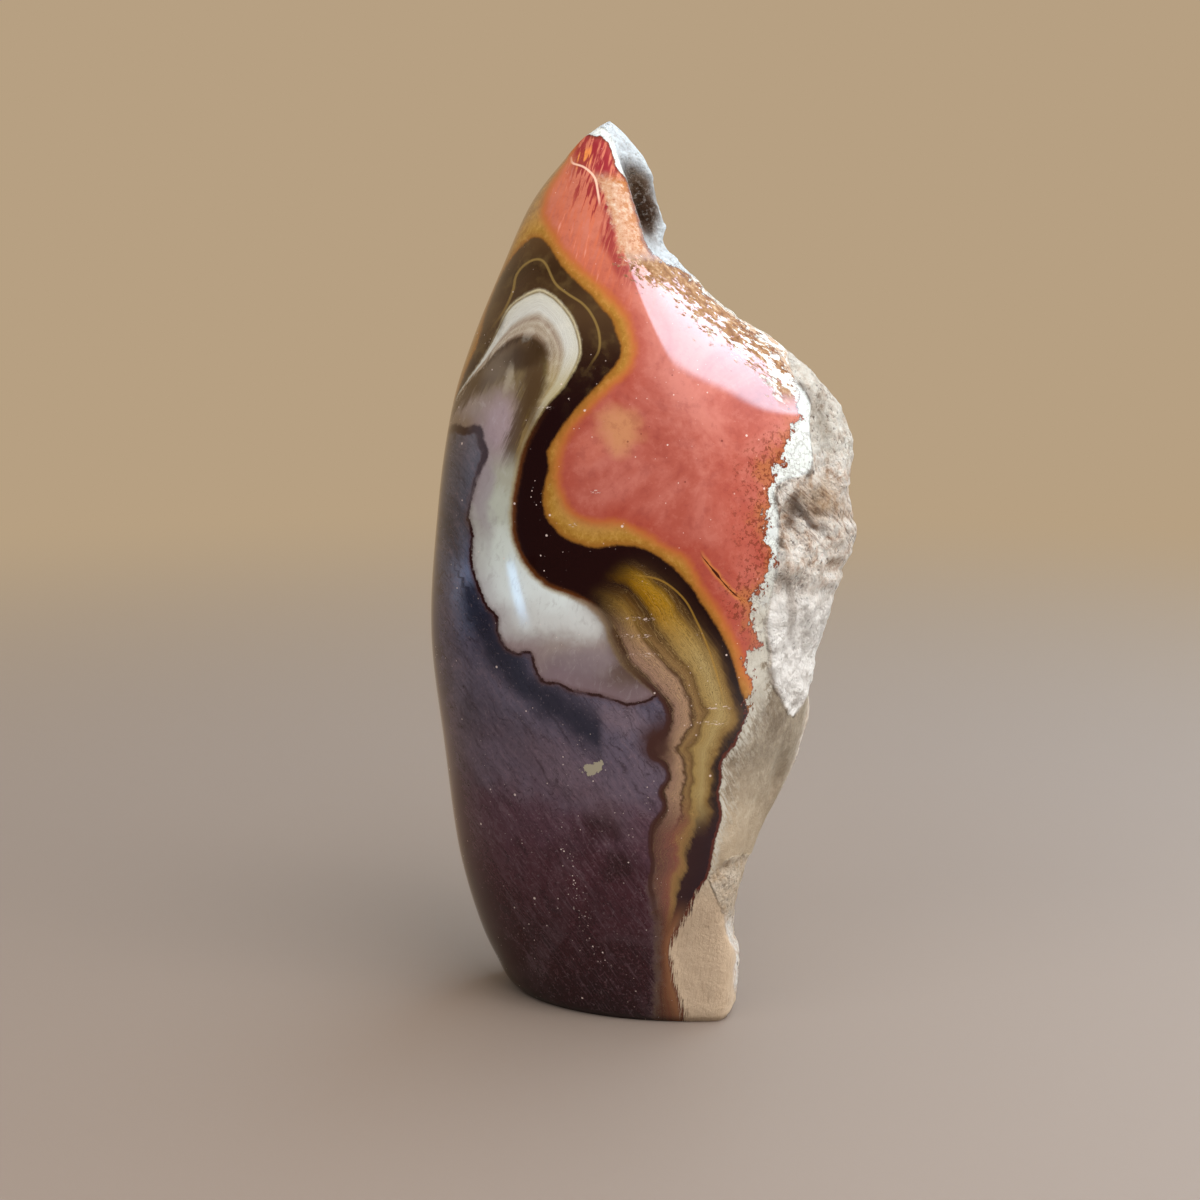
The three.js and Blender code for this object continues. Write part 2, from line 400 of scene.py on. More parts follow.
@dataclass(frozen=True)
class Markings:
    """The edges and lines between the stone's colours, drawn on its face."""

    yellow: Marking = Marking((
        (-40, 120), (-35.2, 131), (-32.8, 136), (-30.6, 144), (-28.2, 150), (-25.8, 153.6),
        (-23.2, 156), (-21.2, 157), (-18.8, 155.4), (-15.2, 150), (-10.2, 145.2), (-7.8, 142.4),
        (-5.8, 140), (-4.8, 137), (-4, 134), (-4.8, 131.4), (-8.6, 127), (-13.2, 122),
        (-16.8, 117), (-18.8, 113.6), (-18.4, 110.6), (-19.4, 106.6), (-19.6, 103.4),
        (-18.6, 100), (-15.2, 96.4), (-12.2, 95.2), (-9.2, 94.5), (-3.8, 95), (0.8, 94.2),
        (5.8, 91), (9.8, 87), (12.4, 83), (15.4, 78.4), (18, 73), (19.4, 68.4), (20.8, 64),
        (24, 58), (40, 50),
    ))
    red: Marking = Marking((
        (-11, 182), (-15.2, 173), (-17.8, 168), (-19.2, 163), (-17.8, 159), (-14.8, 153.6),
        (-9.2, 148), (-4.2, 143), (-1.8, 138.5), (-1, 134), (-2.2, 129.6), (-5.8, 126.4),
        (-9.8, 122.4), (-13.6, 118), (-15.8, 113.6), (-16.2, 108), (-14.6, 103), (-12.2, 101),
        (-8.4, 99.8), (-4.2, 99.8), (-1.2, 98.6), (3.8, 95.6), (9.4, 92), (13, 86),
        (16.2, 81), (19.2, 75), (21, 70), (26, 62), (42, 54),
    ))
    pale: Marking = Marking((
        (-42, 121), (-35.8, 127.6), (-32.2, 132), (-29.8, 136), (-27.6, 141), (-25.8, 143.4),
        (-23.4, 145.2), (-20.6, 146.4), (-18.2, 145.6), (-15.8, 143.6), (-13.8, 141),
        (-12.4, 138), (-11.8, 135), (-12.2, 132), (-15, 127), (-18.6, 123), (-21.2, 119),
        (-23.6, 114), (-25, 108), (-25.8, 102), (-25.4, 96), (-22.8, 90.6), (-18.8, 86.8),
        (-14.2, 85), (-10.2, 82.8), (-7.2, 79.6), (-6, 76), (-3.4, 71.4), (0.6, 67.8),
        (3.8, 64.4), (5.4, 61), (4.6, 57.8), (2, 55.8), (1.8, 53), (4.6, 51), (5.4, 48.4),
        (3.8, 45.6), (4.6, 42.4), (2.2, 38.8), (1.8, 35), (2.4, 31), (1.8, 27), (3, 21),
        (3, 12), (2.8, 0), (2.8, -10),
    ))
    hook_core: Marking = Marking((
        (-44, 119), (-36, 126.4), (-31.2, 130.6), (-28.2, 133.8), (-25, 135.6), (-22, 135),
        (-20.2, 132.4), (-19.8, 128.8), (-21, 125), (-22.8, 121), (-24.2, 117), (-25.2, 112),
        (-26, 104),
    ))
    fracture: Marking = Marking((
        (-44, 121), (-38, 119.4), (-35.2, 117.8), (-32.8, 118.2), (-32, 115.6), (-31.2, 113),
        (-32.4, 110), (-33.6, 106), (-34.6, 101), (-33.8, 97), (-34, 92), (-32.8, 87.4),
        (-31, 83), (-29, 80.8), (-28.6, 77.6), (-27, 74.4), (-24.6, 73.2), (-22.2, 73.4),
        (-21.2, 70.4), (-19.6, 67.6), (-16.6, 67.4), (-14.2, 66), (-10.2, 65.2), (-6.6, 64.4),
        (-3.2, 63.2), (0.4, 63.6), (3.4, 65), (8, 68),
    ))
    gold_thread: Marking = Marking((
        (-42, 125), (-34, 133), (-30.4, 138), (-27.4, 142), (-25.6, 146), (-25, 149),
        (-23.6, 151), (-21.2, 152.2), (-19.2, 151.4),
        (-17.2, 147.4), (-14.6, 145.2), (-11.6, 143.2), (-9.6, 140.6), (-8.4, 137.4),
        (-8.4, 134), (-10, 131.2), (-12.6, 127), (-17, 121.4), (-20.6, 115.6), (-23, 108),
    ))
    outer_thread: Marking = Marking((
        (-14, 90.6), (-6, 89.4), (0.4, 88.8), (4.6, 87.6), (8.6, 84.2), (11, 80),
        (12.8, 76), (14.4, 71.6), (16, 66),
        (17.6, 58), (18, 48),
    ))
    tip_vein: Marking = Marking((
        (-8.6, 176), (-7.2, 171), (-7.6, 166), (-6.4, 161), (-6.4, 156), (-3.6, 150), (1, 143),
    ))
    blue_streak: Marking = Marking((
        (-34, 84), (-30, 76), (-25, 69.4), (-19, 64), (-13, 60.2), (-7, 55.6),
    ))
    crack: Marking = Marking((
        (11.6, 93.4), (14.6, 89.8), (17.6, 86.2), (20.2, 84.2), (22.6, 83.4),
    ))
    tip_crack: Marking = Marking((
        (-14, 175), (-13.6, 173), (-11.2, 171.4), (-9.2, 169), (-8.6, 166), (-8.2, 162.6),
    ))
    pit_trail: Marking = Marking((
        (-20, 39), (-17.4, 35.6), (-15.8, 34), (-14.2, 31.6), (-12.6, 28), (-12.2, 23.4),
        (-11.4, 19), (-9.8, 15.4), (-8, 11.8), (-6, 6),
    ))
    rind: Marking = Marking((
        (-16, 186), (-10.4, 177.8), (-7.8, 177), (-5.8, 174.6), (-5.2, 171), (-2.9, 167.8),
        (-1.4, 163), (0, 158.4), (1.2, 154.6), (4.4, 151.6), (9.4, 149.2), (12.6, 145.8),
        (17.2, 141.8), (21.8, 138), (26.8, 134.4), (29.8, 130), (31.2, 126), (31, 120.4),
        (29.4, 116), (28.3, 110.8), (25.9, 110), (26.6, 107.4), (25.4, 101.8), (25.2, 97),
        (27, 92.4), (25.2, 88.6), (24, 85.6), (21.9, 84), (22.7, 81.6), (21.9, 79.2),
        (23.6, 75.6), (21, 71.6), (22.3, 68), (21.4, 61), (19.2, 55.8), (16.2, 51.6),
        (16.1, 48), (15.5, 44.6), (16.1, 41), (14.6, 35), (13.5, 29.2), (10.6, 24.6),
        (9.2, 21), (6.4, 16.4), (5.8, 12.6), (6.8, 7), (8.4, 1), (10, -10),
    ))
    lobe: Marking = Marking((
        (27.2, 107), (27.6, 100), (27.2, 90), (25.8, 83.6), (24.8, 79), (25.5, 73), (25.4, 69.4),
        (28, 63.8), (31.2, 60.4), (34.2, 65.6), (38, 70), (50, 74), (56, 92), (50, 108), (38, 110),
    ), closed=True)
    upper_raw: Marking = Marking((
        (-12, 182), (-6.6, 178), (-4.6, 174.6), (-4, 171), (-3.1, 167.6), (-1.8, 163),
        (-0.4, 158.2), (0.8, 154.4), (4.6, 151.2), (9.6, 149.2), (14.6, 145.4), (20, 141.4), (25, 138.2),
        (29.4, 134), (32.4, 128.6), (34.2, 122), (34.8, 115), (33, 108.6), (29, 105.4),
        (40, 100), (56, 110), (50, 150), (20, 184),
    ), closed=True)
    heel: Marking = Marking((
        (13.8, 29), (14.6, 25.4), (16.4, 21), (17.4, 16.6), (19.4, 12.6), (18.8, 9.4),
        (20, 4), (30, 4), (30, 30), (20, 33),
    ), closed=True)


@dataclass
class Skin:
    """The stone's whole surface as one closed mesh, with its markings stored per point."""

    outline: Outline = field(default_factory=Outline)
    rind: Rind = field(default_factory=Rind)
    view: Viewpoint = field(default_factory=Viewpoint)
    marks: Markings = field(default_factory=Markings)
    polish_steps: int = 120
    rind_steps: int = 190
    level_step: float = 0.58
    rind_from: float = -80.0
    rind_to: float = 105.0

    def angles(self) -> np.ndarray:
        """Angles round one ring in radians, closer together on the rind."""
        rind = np.linspace(self.rind_from, self.rind_to, self.rind_steps, endpoint=False)
        rest = np.linspace(self.rind_to, self.rind_from + 360, self.polish_steps, endpoint=False)
        return np.radians(np.concatenate([rind, rest]))

    def levels(self) -> np.ndarray:
        """Heights of the rings, with short steps at the base edge and at the tip."""
        top = self.outline.height
        foot = np.array([0.0, 0.15, 0.35, 0.65, 1.0, 1.4, 1.9, 2.5])
        body = np.arange(3.1, top - 5.0, self.level_step)
        head = top - np.array([4.6, 4.1, 3.6, 3.1, 2.6, 2.1, 1.65, 1.25, 0.9, 0.6, 0.35, 0.15])
        return np.concatenate([foot, body, head])

    def seat(self) -> np.ndarray:
        """The move that puts the outlines where the solid stands, in mm."""
        low = np.array(CAD_BOX[0]) / MM
        left = min(value for _, value in self.outline.left.points)
        front = min(value for _, value in self.outline.front.points)
        return np.array([low[0] - left, low[1] - front, low[2]])

    def edges(self, place: np.ndarray) -> dict[str, np.ndarray]:
        """Distances to the rind's edges, from the face on the front and a line on the back.

        Args:
            place: Points on the surface, one to a row.

        Returns:
            Distances in mm by name: rind past the polish, raw past the smooth rind, lobe.
        """
        x, y, z = place.T
        across, up = self.view.face(place)
        behind = ease(y + 7.0 * lumpiness(place, 11.0) + 2.5 * lumpiness(place, 4.0), -6.0, 7.0)
        wander = 1.6 * lumpiness(place, 9.0) + 0.7 * lumpiness(place, 3.0)
        back = x - self.rind.back_edge(z) + wander
        front = self.marks.rind.distance(across, up)
        lobe = self.marks.lobe.distance(across, up)
        raw_front = np.maximum.reduce([
            lobe, self.marks.upper_raw.distance(across, up), self.marks.heel.distance(across, up),
        ])
        raw_front = raw_front + (
            3.0 * lumpiness(place, 5.0) * ease(y, -20.0, -6.0) * ease(z, 52.0, 40.0)
        )
        return {
            "rind": mix(front, back, behind),
            "raw": mix(raw_front, back - 2.5 + 2.0 * lumpiness(place, 13.0), behind),
            "lobe": ease(lobe, -0.2, 1.1) * ease(z, 104.0, 92.0) * mix(1.0, 0.5, behind),
        }

    def points(self) -> tuple[np.ndarray, np.ndarray, dict[str, np.ndarray]]:
        """Every ring's points.

        Returns:
            The ground surface, the finished surface, and the rind's distances.
        """
        angle, height = (a.ravel() for a in np.meshgrid(self.angles(), self.levels()))
        radius = self.outline.radius(angle, height)
        middle = np.stack([self.outline.crest(height), self.outline.spine(height), height], axis=1)
        way = np.stack([np.cos(angle), np.sin(angle), np.zeros_like(angle)], axis=1)
        ground = middle + way * radius[:, None]
        edges = self.edges(ground)
        bump = self.rind.relief(ground, edges["rind"], edges["raw"], edges["lobe"],
                                self.outline.height)
        hand_ground = 0.12 * lumpiness(ground, 26.0) * ease(height, 2.0, 14.0)
        radius = np.maximum(radius + bump + hand_ground, radius * 0.35)
        return ground, middle + way * radius[:, None], edges

    def fields(self, place: np.ndarray, edges: dict[str, np.ndarray]) -> dict[str, np.ndarray]:
        """What the material reads at each point.

        Args:
            place: Points on the finished surface, one to a row.
            edges: The rind's distances at them.

        Returns:
            Triples of numbers by attribute name.
        """
        across, up = self.view.face(place)
        behind = ease(place[:, 1], -12.0, 30.0)
        drift = np.stack([lumpiness(place + shift, 24.0) for shift in (0.0, 300.0)], axis=1)
        u = across * (1.0 - 0.12 * behind) + 7.0 * behind * drift[:, 0]
        v = up + (15.0 + 6.0 * drift[:, 1]) * behind
        marks = self.marks
        yellow, red = marks.yellow.distance(u, v), marks.red.distance(u, v)
        pale = -marks.pale.distance(u, v)
        core = marks.hook_core.distance(u, v)
        outer = np.maximum(np.minimum(-yellow, -edges["rind"]), 0.0)
        inner = np.maximum(-pale, 0.0)
        fan = inner / np.maximum(inner + outer, 0.01)
        curl = np.clip(pale, 0.0, None) / np.maximum(np.clip(pale, 0.0, None) + np.abs(core), 0.01)
        return {
            "face": np.stack([u, v, place[:, 1]], axis=1),
            "bands": np.stack([yellow, red, pale], axis=1),
            "inside": np.stack([fan, curl, -marks.fracture.distance(u, v)], axis=1),
            "threads": np.stack([
                marks.gold_thread.distance(u, v),
                marks.outer_thread.distance(u, v),
                marks.crack.distance(u, v),
            ], axis=1),
            "veins": np.stack([
                marks.tip_vein.distance(u, v),
                marks.blue_streak.distance(u, v),
                marks.tip_crack.distance(u, v),
            ], axis=1),
            "edges": np.stack([edges["rind"], edges["raw"], edges["lobe"]], axis=1),
            "rest": np.stack([core, marks.pit_trail.distance(u, v), np.zeros(len(u))], axis=1),
        }

    def build(self) -> bpy.types.Object:
        """Makes the mesh object.

        Returns:
            The stone, unfinished, at its place in the frame.
        """
        ground, place, edges = self.points()
        around, rings = len(self.angles()), len(self.levels())
        ends = np.array([[0.0, 0.0, 0.0],
                         [self.outline.crest(np.array([self.outline.height]))[0],
                          self.outline.spine(np.array([self.outline.height]))[0],
                          self.outline.height]])
        place = np.vstack([place, ends])
        last_edges = self.edges(ends)
        edges = {name: np.append(values, last_edges[name]) for name, values in edges.items()}
        base, tip = len(place) - 2, len(place) - 1
        first = np.arange(around)
        after = np.roll(first, -1)
        low = (np.arange(rings - 1) * around)[:, None]
        quads = np.stack([low + first, low + after, low + after + around, low + first + around],
                         axis=2).reshape(-1, 4)
        last = (rings - 1) * around
        faces = [*quads.tolist()]
        faces += [[base, b, a] for a, b in zip(first.tolist(), after.tolist())]
        faces += [[tip, last + a, last + b] for a, b in zip(first.tolist(), after.tolist())]
        mesh = bpy.data.meshes.new("jasper_skin")
        mesh.from_pydata(((place + self.seat()) * MM).tolist(), [], faces)
        mesh.update()
        mesh.shade_smooth()
        sharp_rim = mesh.attributes.new("sharp_face", "BOOLEAN", "FACE")
        flat = np.zeros(len(faces), bool)
        flat[len(quads) : len(quads) + around] = True
        sharp_rim.data.foreach_set("value", flat)
        for name, values in self.fields(place, edges).items():
            attribute = mesh.attributes.new(name, "FLOAT_VECTOR", "POINT")
            attribute.data.foreach_set("vector", values.astype(np.float32).ravel())
        stone = bpy.data.objects.new("jasper_skin", mesh)
        bpy.context.collection.objects.link(stone)
        LOG.info("skin: %d points, %d faces", len(place), len(faces))
        return stone


def paint(red: int, green: int, blue: int) -> tuple[float, float, float, float]:
    """A display colour from 0 to 255, as the linear colour that shaders use."""
    def linear(part: int) -> float:
        """One part of the colour."""
        share = part / 255.0
        return share / 12.92 if share <= 0.04045 else ((share + 0.055) / 1.055) ** 2.4
    return linear(red), linear(green), linear(blue), 1.0


class Fade(Enum):
    """How a colour ramp goes from stop to stop."""

    STRAIGHT = "LINEAR"
    SMOOTH = "EASE"


class Ink:
    """Adds and links nodes in one shader tree."""

    def __init__(self, tree: bpy.types.NodeTree) -> None:
        """Starts on a tree, which is emptied."""
        self.tree = tree
        tree.nodes.clear()

    def node(self, kind: str, **settings: object) -> bpy.types.Node:
        """Adds a node.

        Args:
            kind: The node's type name.
            **settings: Properties to set on it.

        Returns:
            The new node.
        """
        made = self.tree.nodes.new(kind)
        for name, value in settings.items():
            setattr(made, name, value)
        return made

    def feed(self, socket: Socket, value: Feed) -> None:
        """Links a socket to another, or sets its value.

        Args:
            socket: The input to feed.
            value: An output socket, a number or a tuple of numbers.
        """
        if isinstance(value, bpy.types.NodeSocket):
            self.tree.links.new(value, socket)
        else:
            socket.default_value = value

    def math(self, operation: str, *terms: Feed, clamp: bool = False) -> Socket:
        """A Math node.

        Args:
            operation: Blender's name for the operation.
            *terms: One to three inputs.
            clamp: Whether to keep the result from 0 to 1.

        Returns:
            The result.
        """
        made = self.node("ShaderNodeMath", operation=operation, use_clamp=clamp)
        for socket, term in zip(made.inputs, terms):
            self.feed(socket, term)
        return made.outputs[0]

    def total(self, *terms: Feed) -> Socket:
        """The sum of two or more inputs."""
        result = terms[0]
        for term in terms[1:]:
            result = self.math("ADD", result, term)
        return result

    def times(self, *terms: Feed) -> Socket:
        """The product of two or more inputs."""
        result = terms[0]
        for term in terms[1:]:
            result = self.math("MULTIPLY", result, term)
        return result

    def most(self, first: Feed, second: Feed) -> Socket:
        """The larger of two values."""
        return self.math("MAXIMUM", first, second)

    def minus(self, value: Feed, taken: Feed) -> Socket:
        """A value less another."""
        return self.math("SUBTRACT", value, taken)

    def ratio(self, value: Feed, divisor: Feed) -> Socket:
        """A value divided by another."""
        return self.math("DIVIDE", value, divisor)

    def size(self, value: Feed) -> Socket:
        """A value without its sign."""
        return self.math("ABSOLUTE", value)

    def streaks(self, place: Feed, turn: float, along: float, across: float,
                detail: float = 3.0, rough: float = 0.55, size: float = 1.0) -> Socket:
        """Noise in streaks.

        Args:
            place: Where to read it.
            turn: Direction of the streaks in degrees.
            along: Their length.
            across: Their width.
            detail: Octaves of the noise.
            rough: Weight of the finer octaves.
            size: Size of the noise in those lengths and widths.

        Returns:
            The noise.
        """
        return self.noise(self.stretched(place, turn, along, across), size, detail, rough)

    def ruling(self, value: Feed) -> Socket:
        """Noise that follows one value, so that it draws lines along it."""
        lines = self.node("ShaderNodeTexNoise", noise_dimensions="1D")
        self.feed(lines.inputs["W"], value)
        lines.inputs["Detail"].default_value = 3.0
        return lines.outputs["Fac"]

    def rise(self, value: Feed, low: float, high: float) -> Socket:
        """A share that rises smoothly from 0 at low to 1 at high, or falls if low is larger.

        Args:
            value: What to test.
            low: Where the share is 0.
            high: Where the share is 1.

        Returns:
            The share.
        """
        made = self.node("ShaderNodeMapRange", interpolation_type="SMOOTHSTEP")
        flip = low > high
        self.feed(made.inputs["Value"], value)
        made.inputs["From Min"].default_value = min(low, high)
        made.inputs["From Max"].default_value = max(low, high)
        made.inputs["To Min"].default_value = 1.0 if flip else 0.0
        made.inputs["To Max"].default_value = 0.0 if flip else 1.0
        return made.outputs["Result"]

    def blend(self, share: Feed, low: Feed, high: Feed, mode: str = "MIX") -> Socket:
        """Mixes two colours.

        Args:
            share: How much of the second colour.
            low: The first colour.
            high: The second colour.
            mode: Blender's name for the way to mix.

        Returns:
            The mixed colour.
        """
        made = self.node("ShaderNodeMix", data_type="RGBA", blend_type=mode, clamp_factor=True)
        self.feed(made.inputs[0], share)
        self.feed(made.inputs[6], low)
        self.feed(made.inputs[7], high)
        return made.outputs[2]

    def between(self, share: Feed, low: Feed, high: Feed) -> Socket:
        """A number between two others.

        Args:
            share: How much of the second number.
            low: The first number.
            high: The second number.

        Returns:
            The mixed number.
        """
        made = self.node("ShaderNodeMix", data_type="FLOAT", clamp_factor=True)
        self.feed(made.inputs[0], share)
        self.feed(made.inputs[2], low)
        self.feed(made.inputs[3], high)
        return made.outputs[0]

    def ramp(self, value: Feed, stops: Sequence[tuple[float, Colour]],
             fade: Fade = Fade.STRAIGHT) -> Socket:
        """Colours by value.

        Args:
            value: The number to colour, within the range of the stops.
            stops: Value and colour of each stop, in rising order.
            fade: How the colours go from stop to stop.

        Returns:
            The colour.
        """
        low, high = stops[0][0], stops[-1][0]
        made = self.node("ShaderNodeValToRGB")
        made.color_ramp.interpolation = fade.value
        for index, (at, colour) in enumerate(stops):
            place = (at - low) / (high - low)
            elements = made.color_ramp.elements
            stop = elements[index] if index < 2 else elements.new(place)
            stop.position, stop.color = place, colour
        scaled = self.math("DIVIDE", self.math("SUBTRACT", value, low), high - low)
        self.feed(made.inputs["Fac"], scaled)
        return made.outputs["Color"]

    def split(self, name: str) -> tuple[Socket, Socket, Socket]:
        """The three numbers of a stored attribute."""
        return self.parts(self.stored(name))

    def parts(self, vector: Socket) -> tuple[Socket, Socket, Socket]:
        """The three numbers of a vector."""
        made = self.node("ShaderNodeSeparateXYZ")
        self.feed(made.inputs[0], vector)
        return made.outputs[0], made.outputs[1], made.outputs[2]

    def stored(self, name: str) -> Socket:
        """A stored attribute as a vector."""
        return self.node("ShaderNodeAttribute", attribute_name=name).outputs["Vector"]

    def noise(self, place: Feed, size: float, detail: float = 3.0, rough: float = 0.55,
              bend: float = 0.0) -> Socket:
        """Fractal noise.

        Args:
            place: Where, in mm.
            size: Width of its largest features, in mm.
            detail: How many finer layers it has.
            rough: How strong the finer layers are.
            bend: How much it is distorted.

        Returns:
            A value about 0.5.
        """
        made = self.node("ShaderNodeTexNoise")
        self.feed(made.inputs["Vector"], place)
        made.inputs["Scale"].default_value = 1.0 / size
        made.inputs["Detail"].default_value = detail
        made.inputs["Roughness"].default_value = rough
        made.inputs["Distortion"].default_value = bend
        return made.outputs["Fac"]

    def stretched(self, place: Feed, turn: float, along: float, across: float) -> Socket:
        """Turns and stretches a place, for noise that runs in streaks.

        Args:
            place: Face coordinates in mm.
            turn: Direction of the streaks in degrees, 0 being across and 90 up.
            along: Length of a streak, in mm.
            across: Width of a streak, in mm.

        Returns:
            The place in streak widths.
        """
        turned = self.node("ShaderNodeVectorRotate", rotation_type="Z_AXIS")
        self.feed(turned.inputs["Vector"], place)
        turned.inputs["Angle"].default_value = math.radians(-turn)
        scaled = self.node("ShaderNodeVectorMath", operation="MULTIPLY")
        self.feed(scaled.inputs[0], turned.outputs[0])
        scaled.inputs[1].default_value = (1.0 / along, 1.0 / across, 1.0 / along)
        return scaled.outputs[0]

    def use(self, group: bpy.types.NodeTree, **values: Feed) -> bpy.types.Node:
        """Places a node group.

        Args:
            group: The group's tree.
            **values: Its inputs by name, with _ for a space.

        Returns:
            The group's node.
        """
        made = self.node("ShaderNodeGroup", node_tree=group)
        for name, value in values.items():
            self.feed(made.inputs[name.replace("_", " ").capitalize()], value)
        return made


def new_group(name: str, takes: dict[str, str], gives: dict[str, str]) -> bpy.types.NodeTree:
    """Starts a shader node group.

    Args:
        name: The group's name.
        takes: Type of each input by name.
        gives: Type of each output by name.

    Returns:
        The group's empty tree.
    """
    tree = bpy.data.node_groups.new(name, "ShaderNodeTree")
    for label, kind in takes.items():
        tree.interface.new_socket(label, in_out="INPUT", socket_type=f"NodeSocket{kind}")
    for label, kind in gives.items():
        tree.interface.new_socket(label, in_out="OUTPUT", socket_type=f"NodeSocket{kind}")
    return tree


def patch_group() -> bpy.types.NodeTree:
    """A soft oval patch on the face.

    Returns:
        The group, with inputs Face, Middle, Reach and Turn and output Mask.
    """
    tree = new_group(
        "Soft patch",
        {"Face": "Vector", "Middle": "Vector", "Reach": "Vector", "Turn": "Float"},
        {"Mask": "Float"},
    )
    ink = Ink(tree)
    given = ink.node("NodeGroupInput")
    shifted = ink.node("ShaderNodeVectorMath", operation="SUBTRACT")
    ink.feed(shifted.inputs[0], given.outputs["Face"])
    ink.feed(shifted.inputs[1], given.outputs["Middle"])
    turned = ink.node("ShaderNodeVectorRotate", rotation_type="Z_AXIS")
    ink.feed(turned.inputs["Vector"], shifted.outputs[0])
    ink.feed(turned.inputs["Angle"], given.outputs["Turn"])
    scaled = ink.node("ShaderNodeVectorMath", operation="DIVIDE")
    ink.feed(scaled.inputs[0], turned.outputs[0])
    ink.feed(scaled.inputs[1], given.outputs["Reach"])
    length = ink.node("ShaderNodeVectorMath", operation="LENGTH")
    ink.feed(length.inputs[0], scaled.outputs[0])
    out = ink.node("NodeGroupOutput")
    ink.feed(out.inputs["Mask"], ink.rise(length.outputs["Value"], 1.0, 0.25))
    return tree


def speck_group() -> bpy.types.NodeTree:
    """Scattered specks, as of pits that took up polishing powder.

    Returns:
        The group, with inputs Place, Spacing, Radius and Chance and output Mask.
    """
    tree = new_group(
        "Specks",
        {"Place": "Vector", "Spacing": "Float", "Radius": "Float", "Chance": "Float"},
        {"Mask": "Float"},
    )
    ink = Ink(tree)
    given = ink.node("NodeGroupInput")
    cells = ink.node("ShaderNodeTexVoronoi", feature="F1")
    ink.feed(cells.inputs["Vector"], given.outputs["Place"])
    ink.feed(cells.inputs["Scale"], ink.math("DIVIDE", 1.0, given.outputs["Spacing"]))
    chosen = ink.node("ShaderNodeSeparateColor")
    ink.feed(chosen.inputs[0], cells.outputs["Color"])
    size = ink.times(given.outputs["Radius"], ink.between(chosen.outputs["Red"], 0.35, 1.0))
    away = ink.times(cells.outputs["Distance"], given.outputs["Spacing"])
    inside = ink.rise(ink.math("DIVIDE", away, size), 1.0, 0.6)
    picked = ink.math("LESS_THAN", chosen.outputs["Green"], given.outputs["Chance"])
    out = ink.node("NodeGroupOutput")
    ink.feed(out.inputs["Mask"], ink.times(inside, picked))
    return tree


@dataclass(frozen=True)
class Patch:
    """A soft patch of colour on the face."""

    middle: Pair
    reach: Pair
    colour: Colour
    turn: float = 0.0
    strength: float = 1.0


